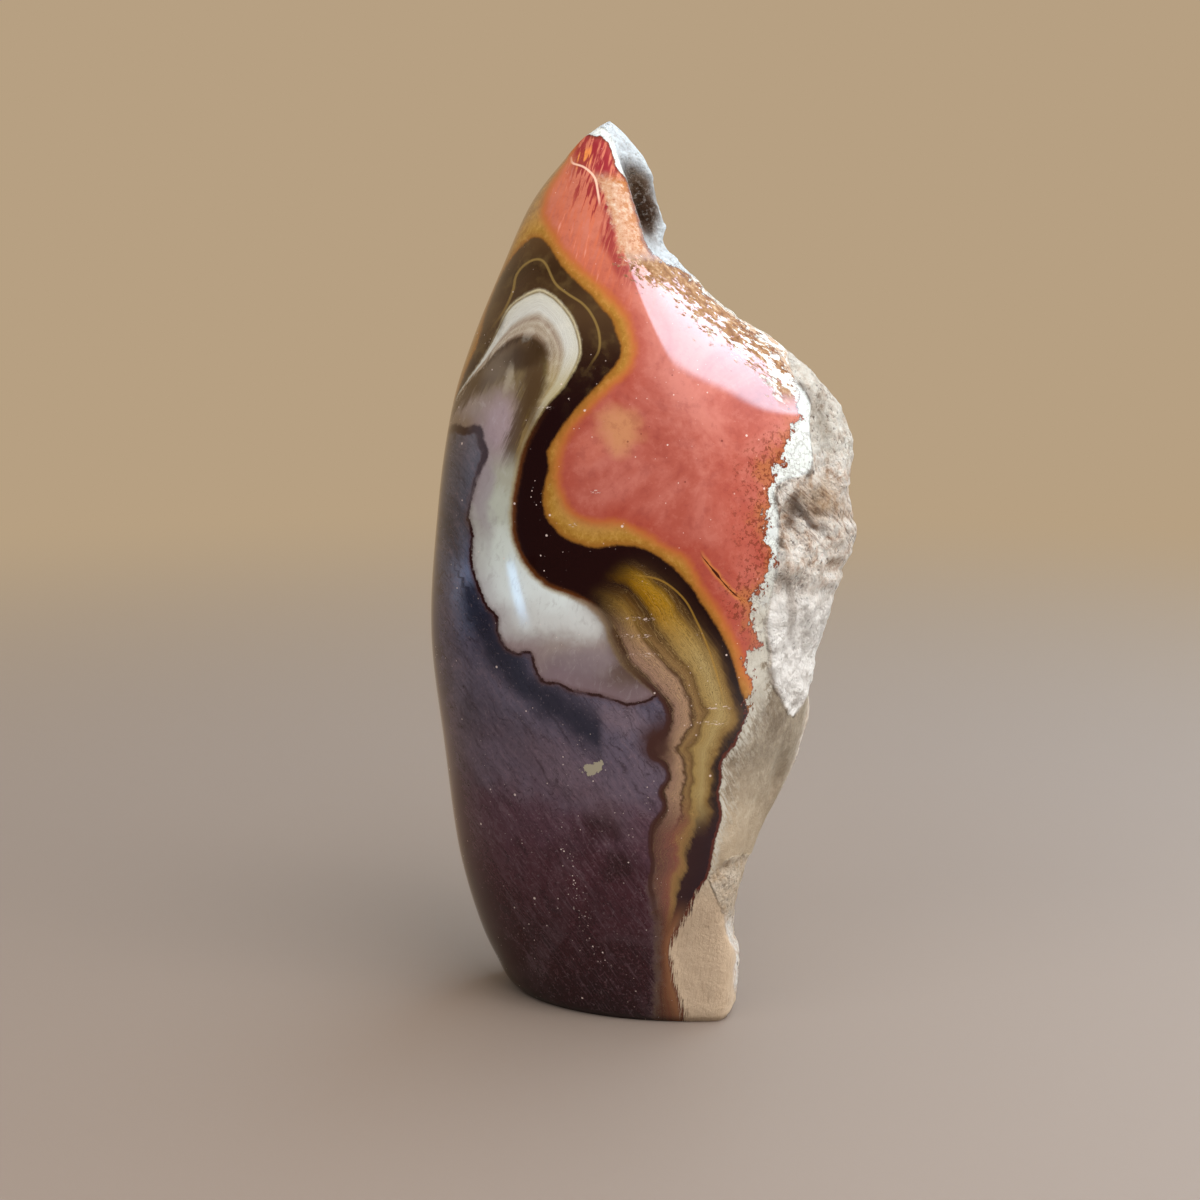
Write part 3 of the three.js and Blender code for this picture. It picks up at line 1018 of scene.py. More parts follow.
@dataclass(frozen=True)
class BandColours:
    """Colours of the polished bands, by zone."""

    red: Sequence[tuple[float, Colour]] = (
        (0.30, paint(150, 66, 54)), (0.47, paint(170, 88, 74)), (0.62, paint(188, 112, 98)),
    )
    red_high: Colour = paint(196, 116, 90)
    salmon: Colour = paint(198, 104, 72)
    vein: Colour = paint(134, 38, 44)
    peach: Sequence[tuple[float, Colour]] = (
        (0.34, paint(136, 84, 56)), (0.42, paint(176, 130, 96)), (0.54, paint(186, 152, 122)),
        (0.66, paint(202, 186, 166)),
    )
    ochre: Colour = paint(158, 98, 36)
    red_edge: Colour = paint(158, 62, 44)
    yellow: Sequence[tuple[float, Colour]] = (
        (-1.2, paint(42, 16, 10)), (-0.4, paint(88, 52, 22)), (0.3, paint(146, 96, 36)),
        (1.6, paint(164, 120, 48)), (3.4, paint(172, 128, 64)), (6.5, paint(154, 120, 78)),
    )
    dark: Sequence[tuple[float, Colour]] = (
        (60, paint(34, 13, 10)), (122, paint(28, 9, 9)), (131, paint(40, 21, 14)),
        (141, paint(74, 53, 33)), (150, paint(54, 35, 18)), (158, paint(84, 58, 32)),
    )
    fan_top: Sequence[tuple[float, Colour]] = (
        (0.0, paint(74, 44, 20)), (0.12, paint(90, 68, 38)), (0.26, paint(146, 112, 48)),
        (0.38, paint(96, 66, 26)), (0.46, paint(60, 38, 18)), (0.56, paint(158, 112, 12)),
        (0.68, paint(158, 117, 26)), (0.76, paint(86, 58, 24)), (0.84, paint(48, 30, 18)),
        (0.90, paint(38, 20, 14)), (1.0, paint(28, 12, 10)),
    )
    fan_low: Sequence[tuple[float, Colour]] = (
        (0.0, paint(66, 34, 24)), (0.05, paint(54, 29, 21)), (0.11, paint(148, 115, 96)),
        (0.26, paint(168, 134, 106)), (0.31, paint(82, 56, 36)), (0.37, paint(142, 110, 68)),
        (0.46, paint(108, 80, 44)), (0.52, paint(160, 132, 78)), (0.66, paint(170, 146, 94)),
        (0.80, paint(132, 102, 54)), (0.87, paint(66, 46, 28)), (0.93, paint(40, 24, 18)),
        (1.0, paint(30, 14, 12)),
    )
    strips: Sequence[tuple[float, Colour]] = (
        (0.0, paint(64, 34, 30)), (0.10, paint(92, 58, 52)), (0.26, paint(112, 70, 62)),
        (0.38, paint(128, 74, 62)), (0.48, paint(146, 108, 66)), (0.56, paint(132, 100, 58)),
        (0.64, paint(48, 24, 24)), (1.0, paint(38, 16, 22)),
    )
    foot_strips: Sequence[tuple[float, Colour]] = (
        (0.0, paint(58, 28, 28)), (0.25, paint(78, 40, 34)), (0.50, paint(106, 60, 42)),
        (0.80, paint(132, 88, 58)), (1.0, paint(112, 82, 62)),
    )
    hook: Sequence[tuple[float, Colour]] = (
        (0.0, paint(104, 84, 50)), (0.03, paint(196, 184, 146)), (0.07, paint(118, 102, 68)),
        (0.11, paint(200, 198, 184)), (0.36, paint(202, 202, 194)), (0.45, paint(168, 156, 140)),
        (0.51, paint(146, 126, 108)), (0.57, paint(172, 158, 138)), (0.64, paint(152, 134, 112)),
        (0.70, paint(170, 154, 134)), (0.78, paint(122, 100, 80)), (0.88, paint(68, 50, 32)),
        (1.0, paint(56, 39, 24)),
    )
    pale: Sequence[tuple[float, Colour]] = (
        (60, paint(90, 72, 74)), (68, paint(108, 90, 90)), (74, paint(148, 134, 128)),
        (80, paint(200, 201, 197)), (86, paint(217, 224, 221)), (94, paint(206, 213, 205)),
        (102, paint(180, 183, 168)), (110, paint(162, 160, 142)), (118, paint(124, 104, 60)),
        (128, paint(116, 98, 66)),
    )
    plum: Sequence[tuple[float, Colour]] = (
        (0, paint(32, 5, 10)), (14, paint(47, 13, 19)), (30, paint(65, 30, 38)),
        (40, paint(80, 52, 63)), (50, paint(94, 80, 93)), (64, paint(90, 82, 97)),
        (76, paint(76, 72, 90)), (90, paint(72, 76, 94)), (104, paint(72, 72, 84)),
        (122, paint(98, 90, 95)),
    )
    plum_light: Colour = paint(128, 108, 116)
    plum_deep: Colour = paint(34, 16, 22)
    orange_spots: Sequence[Patch] = (
        Patch((-10.0, 114.4), (4.6, 5.6), paint(190, 106, 86), turn=-30, strength=0.5),
        Patch((-4.2, 118.0), (6.4, 6.6), paint(192, 132, 92), turn=20, strength=0.95),
        Patch((-11.4, 174.0), (4.0, 3.0), paint(214, 132, 66), turn=30, strength=0.9),
    )
    pale_spots: Sequence[Patch] = (
        Patch((-28.8, 119.0), (6.4, 10.0), paint(162, 141, 145), turn=-8, strength=0.9),
        Patch((-35.0, 123.6), (4.6, 4.6), paint(150, 134, 128), strength=0.8),
        Patch((-31.6, 106.0), (2.8, 16.0), paint(154, 144, 146), turn=4, strength=0.75),
        Patch((-12.0, 71.0), (13.0, 5.0), paint(128, 112, 118), turn=16, strength=0.6),
        Patch((-2.0, 70.0), (7.0, 4.6), paint(92, 72, 62), turn=36, strength=0.8),
    )
    core_spots: Sequence[Patch] = (
        Patch((-28.0, 131.0), (7.4, 3.4), paint(108, 92, 72), turn=38, strength=0.75),
        Patch((-22.6, 132.8), (6.4, 3.6), paint(60, 42, 24), turn=10, strength=0.85),
        Patch((-30.6, 136.8), (7.0, 2.4), paint(52, 32, 20), turn=54, strength=0.7),
        Patch((-21.6, 124.6), (2.6, 9.0), paint(78, 58, 36), turn=-14, strength=0.85),
        Patch((-26.2, 128.4), (1.0, 5.0), paint(180, 168, 146), turn=-14, strength=0.45),
    )
    plum_spots_and_painted_reflection: Sequence[Patch] = (
        Patch((-7.4, 39.4), (6.4, 5.4), paint(46, 13, 18), strength=0.9),
        Patch((-4.4, 30.6), (5.6, 4.4), paint(44, 14, 18), strength=0.9),
        Patch((-12.6, 35.0), (9.0, 5.0), paint(56, 26, 34), turn=20, strength=0.45),
        Patch((-26.0, 36.0), (9.0, 12.0), paint(80, 50, 60), turn=30, strength=0.35),
        Patch((-14.0, 48.0), (24.0, 6.0), paint(104, 84, 92), turn=-38, strength=0.4),
        Patch((-4.0, 60.0), (9.0, 4.0), paint(118, 100, 108), turn=-20, strength=0.6),
        # Painted reflection: a blue-grey sheen near the left edge, where the polish mirrors light from the
        # left.
        Patch((-35.0, 87.0), (4.8, 13.0), paint(108, 120, 150), turn=4, strength=0.9),
        Patch((-37.6, 98.0), (3.4, 9.0), paint(36, 34, 46), turn=2, strength=0.6),
    )
    red_mottle_dark: Colour = paint(128, 50, 48)
    red_mottle_light: Colour = paint(206, 132, 116)
    salmon_light: Colour = paint(232, 176, 160)
    dark_tint: Colour = paint(98, 78, 46)
    gold_line: Colour = paint(150, 122, 66)
    brown_halo: Colour = paint(118, 66, 26)
    fan_thread_dark: Colour = paint(58, 38, 22)
    fan_thread_light: Colour = paint(186, 160, 104)
    outer_line: Colour = paint(168, 128, 52)
    crackle_light: Colour = paint(208, 202, 200)
    crackle_dark: Colour = paint(112, 94, 92)
    hook_line_dark: Colour = paint(118, 98, 76)
    hook_line_light: Colour = paint(216, 210, 192)
    hook_frost: Colour = paint(222, 216, 200)
    hook_green: Colour = paint(166, 148, 92)
    hook_gold: Colour = paint(122, 98, 50)
    hook_shade: Colour = paint(80, 60, 40)
    pale_rim: Colour = paint(150, 128, 82)
    near_break: Colour = paint(134, 112, 118)
    plum_fleck_light: Colour = paint(122, 92, 98)
    plum_fleck_dark: Colour = paint(30, 12, 16)
    blue_line: Colour = paint(27, 27, 42)
    plum_dust: Colour = paint(150, 130, 134)
    chip: Colour = paint(156, 148, 126)
    rim_mottle_light: Colour = paint(196, 150, 78)
    rim_mottle_dark: Colour = paint(128, 80, 28)
    orange_edge: Colour = paint(178, 98, 50)
    fracture_halo: Colour = paint(84, 56, 50)
    fracture: Colour = paint(46, 20, 18)
    wavy_line: Colour = paint(58, 26, 20)
    line_blob: Colour = paint(60, 31, 25)
    crack_glow: Colour = paint(196, 122, 62)
    crack_line: Colour = paint(66, 28, 16)
    tip_crack_line: Colour = paint(238, 196, 170)
    red_pit: Colour = paint(92, 26, 22)
    fringe: Colour = paint(168, 104, 58)
    freckle: Colour = paint(116, 54, 38)
    powder: Colour = paint(226, 206, 196)


@dataclass(frozen=True)
class RindColours:
    """Colours of the rind, by zone."""

    raw: Sequence[tuple[float, Colour]] = (
        (0.28, paint(150, 116, 92)), (0.39, paint(206, 180, 158)), (0.48, paint(238, 226, 212)),
        (0.60, paint(248, 244, 236)), (0.70, paint(226, 192, 172)),
    )
    stain: Colour = paint(120, 88, 68)
    # Brown of the pits, also painted shade in the hollows of the grains.
    pit_and_hollow_shade: Colour = paint(96, 74, 58)
    rim: Colour = paint(212, 217, 212)
    low_rim: Colour = paint(186, 181, 168)
    chalk: Colour = paint(236, 246, 252)
    flank: Sequence[tuple[float, Colour]] = (
        (0.30, paint(92, 78, 64)), (0.44, paint(124, 111, 94)), (0.56, paint(148, 136, 118)),
        (0.68, paint(176, 167, 150)),
    )
    low_flank: Colour = paint(194, 172, 142)
    foot: Colour = paint(184, 162, 140)
    weathered: Colour = paint(168, 128, 90)
    worn_edge: Sequence[tuple[float, Colour]] = (
        (0.34, paint(84, 52, 30)), (0.44, paint(120, 84, 50)), (0.55, paint(144, 110, 74)),
        (0.64, paint(184, 160, 130)),
    )
    iron: Colour = paint(96, 40, 24)
    # Stains on the broken ground, and shade painted into the crevices and valley beside the lobe.
    raw_stains_and_crevice_shade: Sequence[Patch] = (
        Patch((36.0, 104.0), (6.8, 5.6), paint(178, 146, 110), turn=-38, strength=0.7),
        # Painted shade under the ledge where the white rim ends.
        Patch((30.6, 102.0), (1.6, 6.0), paint(128, 104, 88), turn=-20, strength=0.7),
        # Partly a dark brown streak, partly painted shadow below the same ledge.
        Patch((34.0, 100.2), (6.4, 1.5), paint(84, 62, 48), turn=-46, strength=0.8),
        # Painted shade in the crevice down the lobe's left side.
        Patch((29.4, 85.0), (1.7, 12.0), paint(138, 118, 100), turn=4, strength=0.55),
        Patch((36.4, 119.0), (2.6, 9.0), paint(150, 136, 118), turn=14, strength=0.6),
        # Painted shade in the valley behind the rim at the shoulder.
        Patch((31.0, 127.0), (5.6, 2.6), paint(120, 106, 94), turn=-40, strength=0.7),
    )
    # The scoop's dark patches: partly brown stain, partly painted shadow in the trough.
    tip_stains_and_shade: Sequence[Patch] = (
        Patch((-0.2, 170.6), (5.0, 6.0), paint(96, 88, 80), turn=30, strength=0.85),
        Patch((1.0, 165.0), (5.2, 12.0), paint(112, 86, 62), turn=10, strength=0.95),
        Patch((1.0, 164.6), (3.4, 8.4), paint(56, 36, 24), turn=10, strength=0.92),
        Patch((-0.4, 159.6), (2.0, 6.0), paint(96, 66, 46), turn=10, strength=0.7),
    )
    foot_hair: Colour = paint(138, 114, 90)
    cloud: Colour = paint(176, 180, 182)
    seam: Colour = paint(112, 100, 92)
    # Painted shade: the dark line in the crevice along the edge of the broken ground.
    painted_crevice_shade: Colour = paint(84, 68, 56)
    upper_raw: Colour = paint(226, 228, 218)
    lower_raw: Colour = paint(255, 252, 246)
    # Grey of the chalk's pits, also painted shade in the hollows of its grains.
    chalk_pit_and_hollow_shade: Colour = paint(138, 128, 116)
    crumb: Colour = paint(200, 194, 186)


@dataclass(frozen=True)
class Gloss:
    """Roughness of each kind of surface, and the strength of its reflections."""

    polish: float = 0.07
    chipped: float = 0.62
    worn: float = 0.5
    raw: float = 0.9
    index: float = 1.54
    matt_sheen: float = 0.08


ANY_DEPTH = 1e4
WARP = 5.0
NICK_ROW_REACH = 0.62
NICK_ROWS: Sequence[tuple[Pair, float]] = (
    ((-1.0, 80.2), 5.4), ((-1.4, 76.8), 5.4), ((0.6, 73.0), 4.6), ((16.0, 62.4), 4.0),
    ((14.4, 59.4), 4.4), ((-19.2, 122.4), 2.6), ((-13.6, 99.0), 1.2), ((-9.0, 105.6), 1.6),
)


@dataclass
class JasperFinish:
    """The stone's one material: polished bands that give way to rind."""

    bands: BandColours = field(default_factory=BandColours)
    rinds: RindColours = field(default_factory=RindColours)
    gloss: Gloss = field(default_factory=Gloss)

    def make(self) -> bpy.types.Material:
        """Builds the material.

        Returns:
            The material, which reads the attributes stored on the skin.
        """
        material = bpy.data.materials.new("banded_jasper")
        material.use_nodes = True
        self.ink = Ink(material.node_tree)
        self.patches, self.specks = patch_group(), speck_group()
        ink = self.ink
        scaled = ink.node("ShaderNodeVectorMath", operation="SCALE")
        ink.feed(scaled.inputs[0], ink.node("ShaderNodeTexCoord").outputs["Object"])
        scaled.inputs["Scale"].default_value = 1.0 / MM
        self.place = scaled.outputs[0]
        self.face = ink.stored("face")
        self.across, self.up, self.depth = ink.split("face")
        self.fuzz = ink.times(ink.minus(ink.noise(self.place, 1.3, 4.0, 0.7), 0.5), 1.5)
        self.wave = ink.minus(ink.noise(self.place, 6.0, 2.0), 0.5)
        self.in_front = ink.rise(self.depth, 4.0, -4.0)
        self.warped = self.warped_face()
        self.grain = ink.noise(self.place, 1.15, 8.0, 0.7)

        colour, pits = self.specked(self.band_colour())
        rind_share, raw_share, rind_colour = self.rind_colour()
        colour = ink.blend(rind_share, colour, rind_colour)
        rough = ink.between(pits, self.gloss.polish, self.gloss.chipped)
        rough = ink.between(rind_share, rough, ink.between(raw_share, self.gloss.worn, self.gloss.raw))

        shader = ink.node("ShaderNodeBsdfPrincipled")
        ink.feed(shader.inputs["Base Color"], colour)
        ink.feed(shader.inputs["Roughness"], rough)
        shader.inputs["IOR"].default_value = self.gloss.index
        shader.inputs["Specular IOR Level"].default_value = self.gloss.matt_sheen
        polished = ink.math("SUBTRACT", 1.0, ink.most(pits, rind_share), clamp=True)
        ink.feed(shader.inputs["Coat Weight"], polished)
        shader.inputs["Coat Roughness"].default_value = self.gloss.polish
        shader.inputs["Coat IOR"].default_value = self.gloss.index
        ink.feed(shader.inputs["Normal"], self.relief(rind_share, raw_share, pits))
        out = ink.node("ShaderNodeOutputMaterial")
        ink.feed(out.inputs["Surface"], shader.outputs[0])
        return material

    def height(self, low: float, high: float) -> Socket:
        """A share that rises with height up the face, in mm."""
        return self.ink.rise(self.up, low, high)

    def frayed(self, distance: Socket, wave: float) -> Socket:
        """A distance with a share of the broad noise added."""
        return self.ink.total(distance, self.ink.times(self.wave, wave))

    def oval(self, middle: Pair, reach: Pair, turn: float = 0.0,
             face: Socket | None = None) -> Socket:
        """A soft oval.

        Args:
            middle: Its middle on the face, in mm.
            reach: How far it reaches along and across its own axis, in mm.
            turn: Direction of its axis in degrees, 0 being across and 90 up.
            face: Face coordinates to draw it in, the warped ones if not given.

        Returns:
            Its mask.
        """
        return self.ink.use(
            self.patches, face=self.warped if face is None else face, middle=(*middle, 0.0),
            reach=(*reach, ANY_DEPTH), turn=math.radians(-turn),
        ).outputs["Mask"]

    def scattered(self, spacing: float, radius: float, chance: float) -> Socket:
        """The mask of scattered specks, their spacing and radius in mm."""
        return self.ink.use(self.specks, place=self.place, spacing=spacing, radius=radius,
                            chance=chance).outputs["Mask"]

    def spots(self, colour: Socket, patches: Sequence[Patch]) -> Socket:
        """Lays soft patches over a colour.

        Args:
            colour: The colour beneath.
            patches: The patches, in order.

        Returns:
            The colour with the patches on it.
        """
        ink = self.ink
        for patch in patches:
            mask = self.oval(patch.middle, patch.reach, patch.turn)
            colour = ink.blend(ink.times(mask, patch.strength), colour, patch.colour)
        return colour

    def warped_face(self) -> Socket:
        """Face coordinates pushed about a little, so that no patch is a clean oval."""
        ink = self.ink
        push = ink.node("ShaderNodeTexNoise")
        ink.feed(push.inputs["Vector"], self.place)
        push.inputs["Scale"].default_value = 0.22
        push.inputs["Detail"].default_value = 4.0
        pushed = ink.node("ShaderNodeVectorMath", operation="MULTIPLY_ADD")
        ink.feed(pushed.inputs[0], push.outputs["Color"])
        pushed.inputs[1].default_value = (WARP, WARP, 0.0)
        ink.feed(pushed.inputs[2], self.face)
        centred = ink.node("ShaderNodeVectorMath", operation="SUBTRACT")
        ink.feed(centred.inputs[0], pushed.outputs[0])
        centred.inputs[1].default_value = (WARP / 2, WARP / 2, 0.0)
        return centred.outputs[0]

    def red_zone(self) -> Socket:
        """The red field, its orange patches, and its darker vein at the tip."""
        ink, bands = self.ink, self.bands
        cloud = ink.noise(self.place, 17.0, 5.0, 0.62, 0.6)
        colour = ink.ramp(cloud, bands.red)
        edge = ink.rise(self.frayed(self.red, 2.0), 5.0, 0.6)
        colour = ink.blend(ink.times(edge, 0.5), colour, bands.red_edge)
        colour = ink.blend(ink.times(self.height(134.0, 158.0), 0.6), colour, bands.red_high)
        colour = ink.blend(ink.times(self.height(112.0, 94.0), 0.35), colour, bands.red_edge)
        colour = self.spots(colour, bands.orange_spots)
        mottle = ink.noise(self.place, 2.4, 7.0, 0.74)
        colour = ink.blend(ink.times(ink.rise(mottle, 0.51, 0.62), 0.22), colour, bands.red_mottle_dark)
        colour = ink.blend(ink.times(ink.rise(mottle, 0.48, 0.38), 0.16), colour, bands.red_mottle_light)
        brush = ink.streaks(self.face, 74, 7.0, 0.8, 4.0)
        high = self.height(138.0, 154.0)
        salmon = ink.blend(ink.times(high, ink.rise(brush, 0.44, 0.60), 0.6), colour, bands.salmon)
        pale = ink.times(high, ink.rise(brush, 0.60, 0.70), 0.35)
        salmon = ink.blend(pale, salmon, bands.salmon_light)
        near_vein = ink.rise(self.frayed(self.tip_vein, 2.4), 2.4, 0.5)
        near_vein = ink.times(near_vein, self.height(144.0, 150.0))
        above = ink.between(self.height(150.0, 166.0), 0.75, 1.0)
        veined = ink.blend(ink.times(near_vein, ink.rise(brush, 0.36, 0.52), above), salmon, bands.vein)
        height = ink.times(self.height(157.0, 172.0), 0.17)
        tip = ink.times(ink.rise(ink.total(brush, height), 0.60, 0.67),
                        ink.rise(self.across, -15.5, -12.0), self.height(156.0, 162.0), 0.9)
        veined = ink.blend(tip, veined, bands.vein)
        past_vein = ink.times(
            self.height(147.0, 155.0),
            ink.rise(ink.total(self.frayed(self.rind, 2.0), ink.times(self.fuzz, 1.4)), -5.8, -4.4),
            self.height(171.0, 167.5),
        )
        dry_tip = ink.times(self.height(165.0, 168.0), ink.rise(self.rind, -6.0, -4.0))
        self.crusted = ink.times(past_vein, 0.9)
        self.dry = ink.most(self.crusted, dry_tip)
        crust = ink.ramp(ink.noise(self.place, 1.1, 6.0, 0.75), bands.peach)
        ochre = ink.rise(ink.noise(self.place, 1.7, 6.0, 0.75), 0.47, 0.56)
        ochre = ink.times(ochre, ink.rise(self.frayed(self.rind, 3.0), -3.4, -1.2))
        crust = ink.blend(ink.times(ochre, 0.85), crust, bands.ochre)
        return ink.blend(self.crusted, veined, crust)

    def dark_zone(self) -> Socket:
        """The dark band, which opens low down into a fan of gold and brown strips."""
        ink, bands = self.ink, self.bands
        colour = ink.ramp(self.frayed(self.up, 6.0), bands.dark)
        tint = ink.rise(ink.noise(self.place, 3.0, 4.0), 0.45, 0.75)
        upper = self.height(118.0, 134.0)
        colour = ink.blend(ink.times(tint, upper, 0.5), colour, bands.dark_tint)
        thread = ink.times(ink.rise(self.gold_thread, 0.38, 0.08), 0.6,
                           ink.rise(self.across, -31.0, -25.0), self.height(129.0, 136.0))
        colour = ink.blend(thread, colour, bands.gold_line)
        halo = ink.times(ink.rise(self.pale, -1.3, 0.0), self.height(126.0, 106.0))
        colour = ink.blend(ink.times(halo, 0.65), colour, bands.brown_halo)

        grain = ink.streaks(self.face, -52, 14.0, 0.5, 3.0)
        wander = ink.minus(ink.noise(self.place, 3.0, 3.0, 0.6), 0.5)
        shift = ink.total(self.fan, ink.times(ink.minus(grain, 0.5), 0.08),
                          ink.times(self.wave, 0.12), ink.times(self.fuzz, 0.014),
                          ink.times(wander, self.height(70.0, 50.0), 0.22))
        top, low = ink.ramp(shift, bands.fan_top), ink.ramp(shift, bands.fan_low)
        strips, foot = ink.ramp(shift, bands.strips), ink.ramp(shift, bands.foot_strips)
        fan = ink.blend(self.height(84.0, 70.0), top, low)
        fan = ink.blend(self.height(46.0, 36.0), fan, strips)
        fan = ink.blend(self.height(25.0, 17.0), fan, foot)
        lean = ink.total(self.across, ink.times(ink.minus(88.0, self.up), 0.7),
                         ink.times(self.wave, 6.0))
        threads = ink.ruling(ink.times(shift, 42.0))
        lit = ink.between(self.height(50.0, 38.0), ink.rise(shift, 0.86, 0.76),
                          ink.rise(shift, 0.68, 0.60))
        fan = ink.blend(ink.times(ink.rise(threads, 0.50, 0.38), lit, 0.62), fan,
                        bands.fan_thread_dark)
        fan = ink.blend(ink.times(ink.rise(threads, 0.56, 0.70), lit, 0.35), fan,
                        bands.fan_thread_light)
        colour = ink.blend(ink.rise(lean, -9.0, 3.0), colour, fan)
        outer = ink.times(ink.rise(self.outer_thread, 0.28, 0.08), 0.55,
                          ink.rise(self.across, -3.0, 3.0), self.height(62.0, 70.0))
        return ink.blend(outer, colour, bands.outer_line)

    def pale_zone(self) -> Socket:
        """The hook of cream rings and the pale field under it."""
        ink, bands = self.ink, self.bands
        grain = ink.noise(self.place, 2.2, 5.0, 0.6)
        height = ink.total(self.up, ink.times(self.wave, 7.0),
                           ink.times(ink.minus(grain, 0.5), 3.0))
        colour = self.spots(ink.ramp(height, bands.pale, Fade.SMOOTH), bands.pale_spots)
        crackle = ink.streaks(self.warped, 80, 2.6, 0.9, 6.0, 0.72)
        colour = ink.blend(ink.times(ink.rise(crackle, 0.52, 0.70), 0.16), colour, bands.crackle_light)
        colour = ink.blend(ink.times(ink.rise(crackle, 0.48, 0.32), 0.2), colour, bands.crackle_dark)
        ringed = self.frayed(self.curl, 0.06)
        rings = ink.ramp(ringed, bands.hook)
        fine = ink.ruling(ink.total(ink.times(self.pale, 2.3), ink.times(self.fuzz, 0.5)))
        ruled = ink.rise(ringed, 0.86, 0.72)
        lined = ink.blend(ink.times(ink.rise(fine, 0.52, 0.62), ruled, 0.42), rings,
                          bands.hook_line_dark)
        lined = ink.blend(ink.times(ink.rise(fine, 0.48, 0.38), ruled, 0.35), lined,
                          bands.hook_line_light)
        lined = ink.blend(ink.times(ink.rise(grain, 0.50, 0.62), 0.16), lined, bands.hook_frost)
        green = ink.times(ink.rise(self.across, -25.0, -17.0), self.height(136.0, 124.0), 0.7)
        lined = ink.blend(green, lined, bands.hook_green)
        gold = ink.times(self.height(126.0, 117.0), 0.85)
        lined = ink.blend(gold, lined, bands.hook_gold)
        feathers = ink.streaks(self.face, 66, 5.0, 0.55, 5.0, 0.66)
        core = ink.total(self.core, ink.times(ink.minus(feathers, 0.5), 6.0))
        reach = ink.between(self.height(120.0, 132.0), 3.4, 6.0)
        shade = ink.rise(ink.ratio(core, reach), -1.0, -0.35)
        shade = ink.times(shade, self.height(109.0, 115.0), 0.9)
        colour = ink.blend(shade, colour, bands.hook_shade)
        hook = ink.times(ink.rise(core, -0.6, 0.9), self.height(108.0, 116.0))
        colour = self.spots(ink.blend(hook, colour, lined), bands.core_spots)
        rim = ink.times(ink.rise(self.pale, 1.1, 0.1), self.height(120.0, 108.0))
        colour = ink.blend(ink.times(rim, 0.7), colour, bands.pale_rim)
        near_break = ink.rise(ink.total(ink.times(self.plum, -1.0), ink.times(self.wave, 3.0)), 5.0, 0.3)
        return ink.blend(ink.times(near_break, 0.45), colour, bands.near_break)

    def plum_zone(self) -> Socket:
        """The grey and plum field, streaked by the direction of its grain, with a painted blue-grey
        reflection near its left edge.
        """
        ink, bands = self.ink, self.bands
        height = ink.total(self.up, ink.times(self.wave, 14.0), ink.times(self.across, 0.22), 4.0)
        colour = self.spots(ink.ramp(height, bands.plum, Fade.SMOOTH), bands.plum_spots_and_painted_reflection)
        drift = ink.noise(self.place, 13.0, 4.0, 0.6, 0.8)
        colour = ink.blend(ink.times(ink.rise(drift, 0.50, 0.70), 0.10), colour, bands.plum_light)
        colour = ink.blend(ink.times(ink.rise(drift, 0.50, 0.32), 0.26), colour, bands.plum_deep)
        streaks = ink.streaks(self.warped, -56, 9.0, 1.3, 5.0, 0.66)
        calm = ink.between(self.height(10.0, 44.0), 0.35, 1.0)
        colour = ink.blend(ink.times(ink.rise(streaks, 0.52, 0.66), calm, 0.22), colour,
                           bands.plum_light)
        colour = ink.blend(ink.times(ink.rise(streaks, 0.48, 0.33), 0.42), colour, bands.plum_deep)
        veins = ink.streaks(self.warped, -52, 12.0, 1.6, 3.0, 0.6)
        veins = ink.rise(ink.size(ink.minus(veins, 0.5)), 0.014, 0.002)
        colour = ink.blend(ink.times(veins, ink.rise(drift, 0.44, 0.56), calm, 0.5), colour,
                           bands.plum_deep)
        hatch = ink.streaks(self.face, -54, 6.0, 0.34, 4.0, 0.7)
        colour = ink.blend(ink.times(ink.rise(hatch, 0.52, 0.66), 0.16), colour, bands.plum_light)
        colour = ink.blend(ink.times(ink.rise(hatch, 0.48, 0.34), 0.3), colour, bands.plum_deep)
        fleck = ink.noise(self.place, 0.8, 5.0, 0.7)
        colour = ink.blend(ink.times(ink.rise(fleck, 0.54, 0.66), 0.2), colour, bands.plum_fleck_light)
        colour = ink.blend(ink.times(ink.rise(fleck, 0.46, 0.34), 0.35), colour, bands.plum_fleck_dark)
        blue = ink.rise(self.frayed(self.blue_streak, 5.0), 5.4, 0.8)
        blue = ink.times(blue, ink.rise(self.across, -6.8, -9.0), ink.rise(self.across, -40.0, -34.0))
        colour = ink.blend(ink.times(blue, 0.9), colour, bands.blue_line)
        dust = ink.rise(ink.noise(self.place, 0.5, 2.0), 0.60, 0.72)
        colour = ink.blend(ink.times(dust, 0.2), colour, bands.plum_dust)
        chip = self.oval((-9.2, 50.6), (3.6, 2.6), 30.0)
        ragged = ink.rise(ink.total(chip, ink.times(self.fuzz, 1.5)), 0.60, 0.68)
        return ink.blend(ink.times(ragged, self.in_front), colour, bands.chip)

    def band_colour(self) -> Socket:
        """The colour of the polished stone."""
        ink, bands = self.ink, self.bands
        yellow, red, pale = ink.split("bands")
        self.yellow = ink.total(yellow, ink.times(self.fuzz, 0.6))
        self.red = ink.total(red, ink.times(self.fuzz, 0.8), ink.times(self.wave, 1.2))
        self.pale = ink.total(pale, ink.times(self.fuzz, 0.5))
        self.fan, self.curl, plum = ink.split("inside")
        self.plum = ink.total(plum, ink.times(self.fuzz, 0.8))
        self.gold_thread, self.outer_thread, self.crack = (
            ink.size(thread) for thread in ink.split("threads")
        )
        self.tip_vein, self.blue_streak, self.tip_crack = (
            ink.size(vein) for vein in ink.split("veins")
        )
        rind, raw, self.lobe = ink.split("edges")
        torn = ink.minus(ink.noise(self.place, 2.6, 6.0, 0.72), 0.5)
        ragged = ink.times(self.height(54.0, 66.0), self.height(156.0, 148.0), torn, 9.0)
        self.rind = ink.total(rind, ink.times(self.fuzz, 0.9), ragged)
        self.raw = ink.total(raw, ink.times(self.fuzz, 0.6))
        self.core, pit_trail, _ = ink.split("rest")
        self.pit_trail = ink.size(pit_trail)

